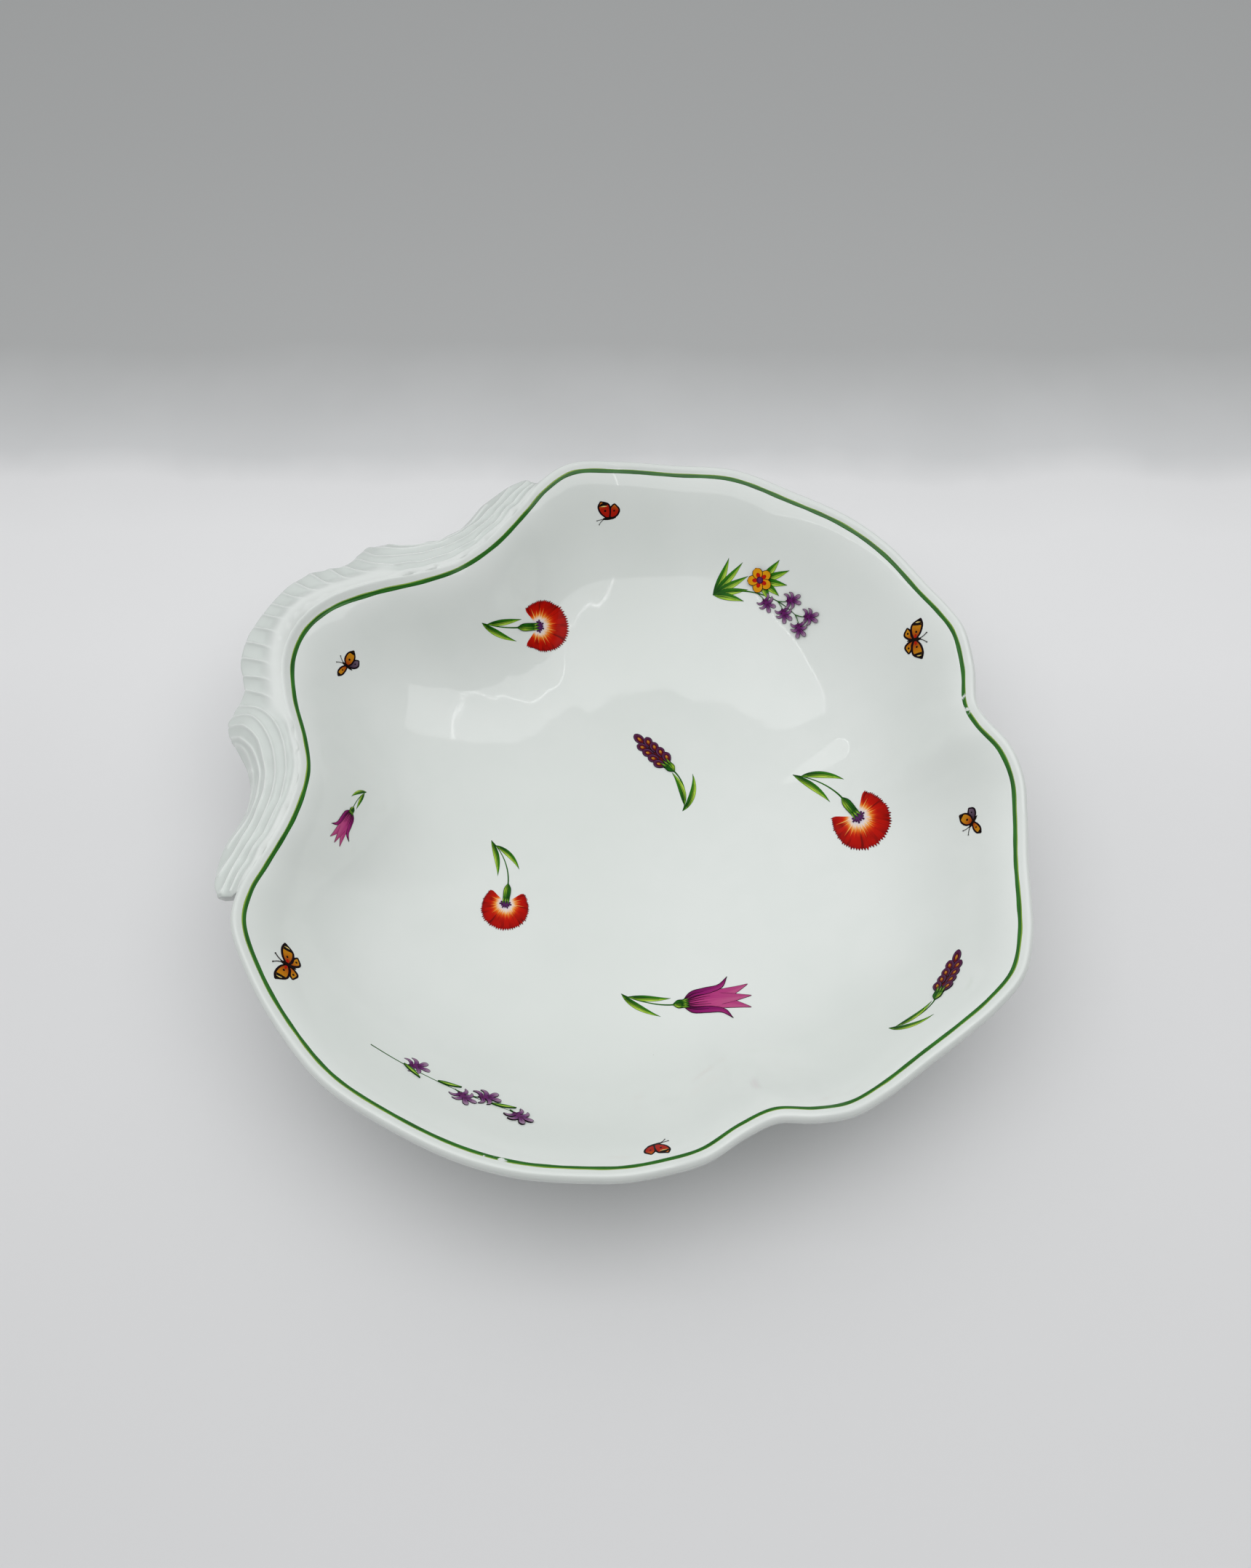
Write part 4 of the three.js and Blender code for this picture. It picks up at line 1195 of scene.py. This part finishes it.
def build_line():
    """The brushed green line, laid on the glaze just inside the rim."""
    count = LINE_STATIONS
    arcs_here = np.linspace(0.5, -0.5, count, endpoint=False) * outline_length
    points, out = stations_at(arcs_here)
    rng = np.random.default_rng(5)
    phase = rng.random(12) * 2 * math.pi
    turn = np.linspace(0, 2 * math.pi, count, endpoint=False)
    wobble = sum(np.sin(turn * (7 + 9 * k) + phase[k]) for k in range(12)) / 12
    top, strokes, low = [], [], []
    for share in (-1, -0.6, 0, 0.6, 1):
        by = share * (LINE_WIDTH / 2 + LINE_WAVER * wobble)
        flat = to_frame(np.column_stack([points[:, :2] + out * by[:, None], np.full(count, 100.0)]))
        row = [drop_on_glaze(p, (0, 0, -1))[0] for p in flat]
        edge = LINE_EDGE_RISE if abs(share) == 1 else LINE_RISE
        top.append([(p.x, p.y, p.z + edge) for p in row])
        low.append([(p.x, p.y, p.z - LINE_SINK) for p in row])
        strokes += [(i / count, share, 0) for i in range(count)]
    rows = top + low[::-1]
    strokes = strokes + [(i / count, share, 0) for share in (1, 0.6, 0, -0.6, -1) for i in range(count)]
    points = np.array(rows).reshape(-1, 3)
    faces = grid_faces(len(rows), count, wrap_rows=True, wrap_columns=True)
    obj = mesh_object("green_rim_line_look", points, faces, [LINE])
    store_strokes(obj, strokes)
    face_outwards(obj)
    return obj


line = build_line()
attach(line, "root")
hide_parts("green_rim_line")

# ---------- Camera, floor and light ----------

# The tent's brightness along an axis: the axis, a low and a high place on it, and how bright each is.
TENT = [((0, 0, 1), -0.1, 0.9, 0.22, 0.97), ((0.52, 0.81, 0), -1.0, 0.6, 0.25, 1.0)]
CEILING_RADIANCE = 1.25
STRIP_RADIANCE = 7.0

camera_data = bpy.data.cameras.new("camera")
camera_data.sensor_fit = "VERTICAL"
camera_data.sensor_height = 36.0
camera_data.lens = 37.613
camera = bpy.data.objects.new("camera", camera_data)
bpy.context.scene.collection.objects.link(camera)
bpy.context.scene.camera = camera
elevation = math.radians(60.7635)  # how far the camera looks down
azimuth = math.radians(61.0)  # from +Y towards +X, the way it looks
forward = Vector((math.sin(azimuth), math.cos(azimuth), -math.tan(elevation)))
camera.location = (-0.22905, -0.1281, 0.5222)
camera.rotation_mode = "QUATERNION"
camera.rotation_quaternion = forward.to_track_quat("-Z", "Y")


def floor_material():
    n = Nodes("floor_paper")
    place = n.place()
    parts = n.add("ShaderNodeSeparateXYZ", {"Vector": place})
    away = n.math(
        "ADD",
        n.times(parts.outputs["X"], math.sin(azimuth)),
        n.times(parts.outputs["Y"], math.cos(azimuth)),
    )
    fleck = n.remap(n.noise(place, 14.0, 3.0), 0.3, 0.7, -0.004, 0.004)
    share = n.remap(n.math("ADD", away, fleck), -0.25, 0.5)
    # Painted light and shade: the floor is a little darker towards its front, brightest round and just behind
    # the bowl, and darker grey well behind it in place of the tent's back wall.
    stops = [
        (0.0, "#e0e0e1"), (0.13, "#e6e6e7"), (0.29, "#eaeaeb"), (0.42, "#f1f1f2"), (0.54, "#f2f2f3"),
        (0.592, "#ededee"), (0.624, "#d8d9da"), (0.733, "#b8b9b9"), (0.93, "#b5b6b6"),
    ]
    return n.finish(Base_Color=n.ramp(share, stops), Roughness=0.6)


floor_corners = [(-4, -4, 0), (4, -4, 0), (4, 4, 0), (-4, 4, 0)]
floor = mesh_object("floor", floor_corners, [(0, 1, 2, 3)], [floor_material()], smooth=False)


def studio_world():
    """A white tent: brightest overhead, dimmer low down and on the side where it is open."""
    world = bpy.data.worlds.new("studio")
    world.use_nodes = True
    tree = world.node_tree
    direction = tree.nodes.new("ShaderNodeTexCoord").outputs["Generated"]
    strength = tree.nodes.new("ShaderNodeMath")
    strength.operation = "MULTIPLY"
    for socket, (axis, low, high, dim, bright) in zip(strength.inputs, TENT):
        turned = tree.nodes.new("ShaderNodeVectorMath")
        turned.operation = "DOT_PRODUCT"
        turned.inputs[1].default_value = axis
        tree.links.new(direction, turned.inputs[0])
        shade = tree.nodes.new("ShaderNodeMapRange")
        settings = {"From Min": low, "From Max": high, "To Min": dim, "To Max": bright}
        for key, value in settings.items():
            shade.inputs[key].default_value = value
        tree.links.new(turned.outputs["Value"], shade.inputs["Value"])
        tree.links.new(shade.outputs["Result"], socket)
    background = tree.nodes["Background"]
    background.inputs["Color"].default_value = (0.985, 0.995, 1.0, 1)
    tree.links.new(strength.outputs["Value"], background.inputs["Strength"])
    return world


bpy.context.scene.world = studio_world()


def panel(name, towards, aside, height, length, width, radiance):
    """A flat light that faces straight down, lined up with the camera; towards is on its side."""
    data = bpy.data.lights.new(name, "AREA")
    data.shape = "RECTANGLE"
    data.size = length
    data.size_y = width
    data.energy = radiance * math.pi * length * width
    light = bpy.data.objects.new(name, data)
    near = Vector((-math.sin(azimuth), -math.cos(azimuth), 0))
    left = Vector((-math.cos(azimuth), math.sin(azimuth), 0))
    light.location = near * towards + left * aside + Vector((0, 0, height))
    light.rotation_euler = (0, 0, math.atan2(near.y, near.x))
    bpy.context.scene.collection.objects.link(light)


panel("ceiling", 0.10, -0.06, 0.75, 0.56, 0.98, CEILING_RADIANCE)
panel("strip_left", 0.10, 0.43, 0.74, 0.56, 0.006, STRIP_RADIANCE)
panel("strip_right", 0.10, -0.25, 0.74, 0.56, 0.006, STRIP_RADIANCE)

bpy.context.scene.view_settings.view_transform = "Standard"
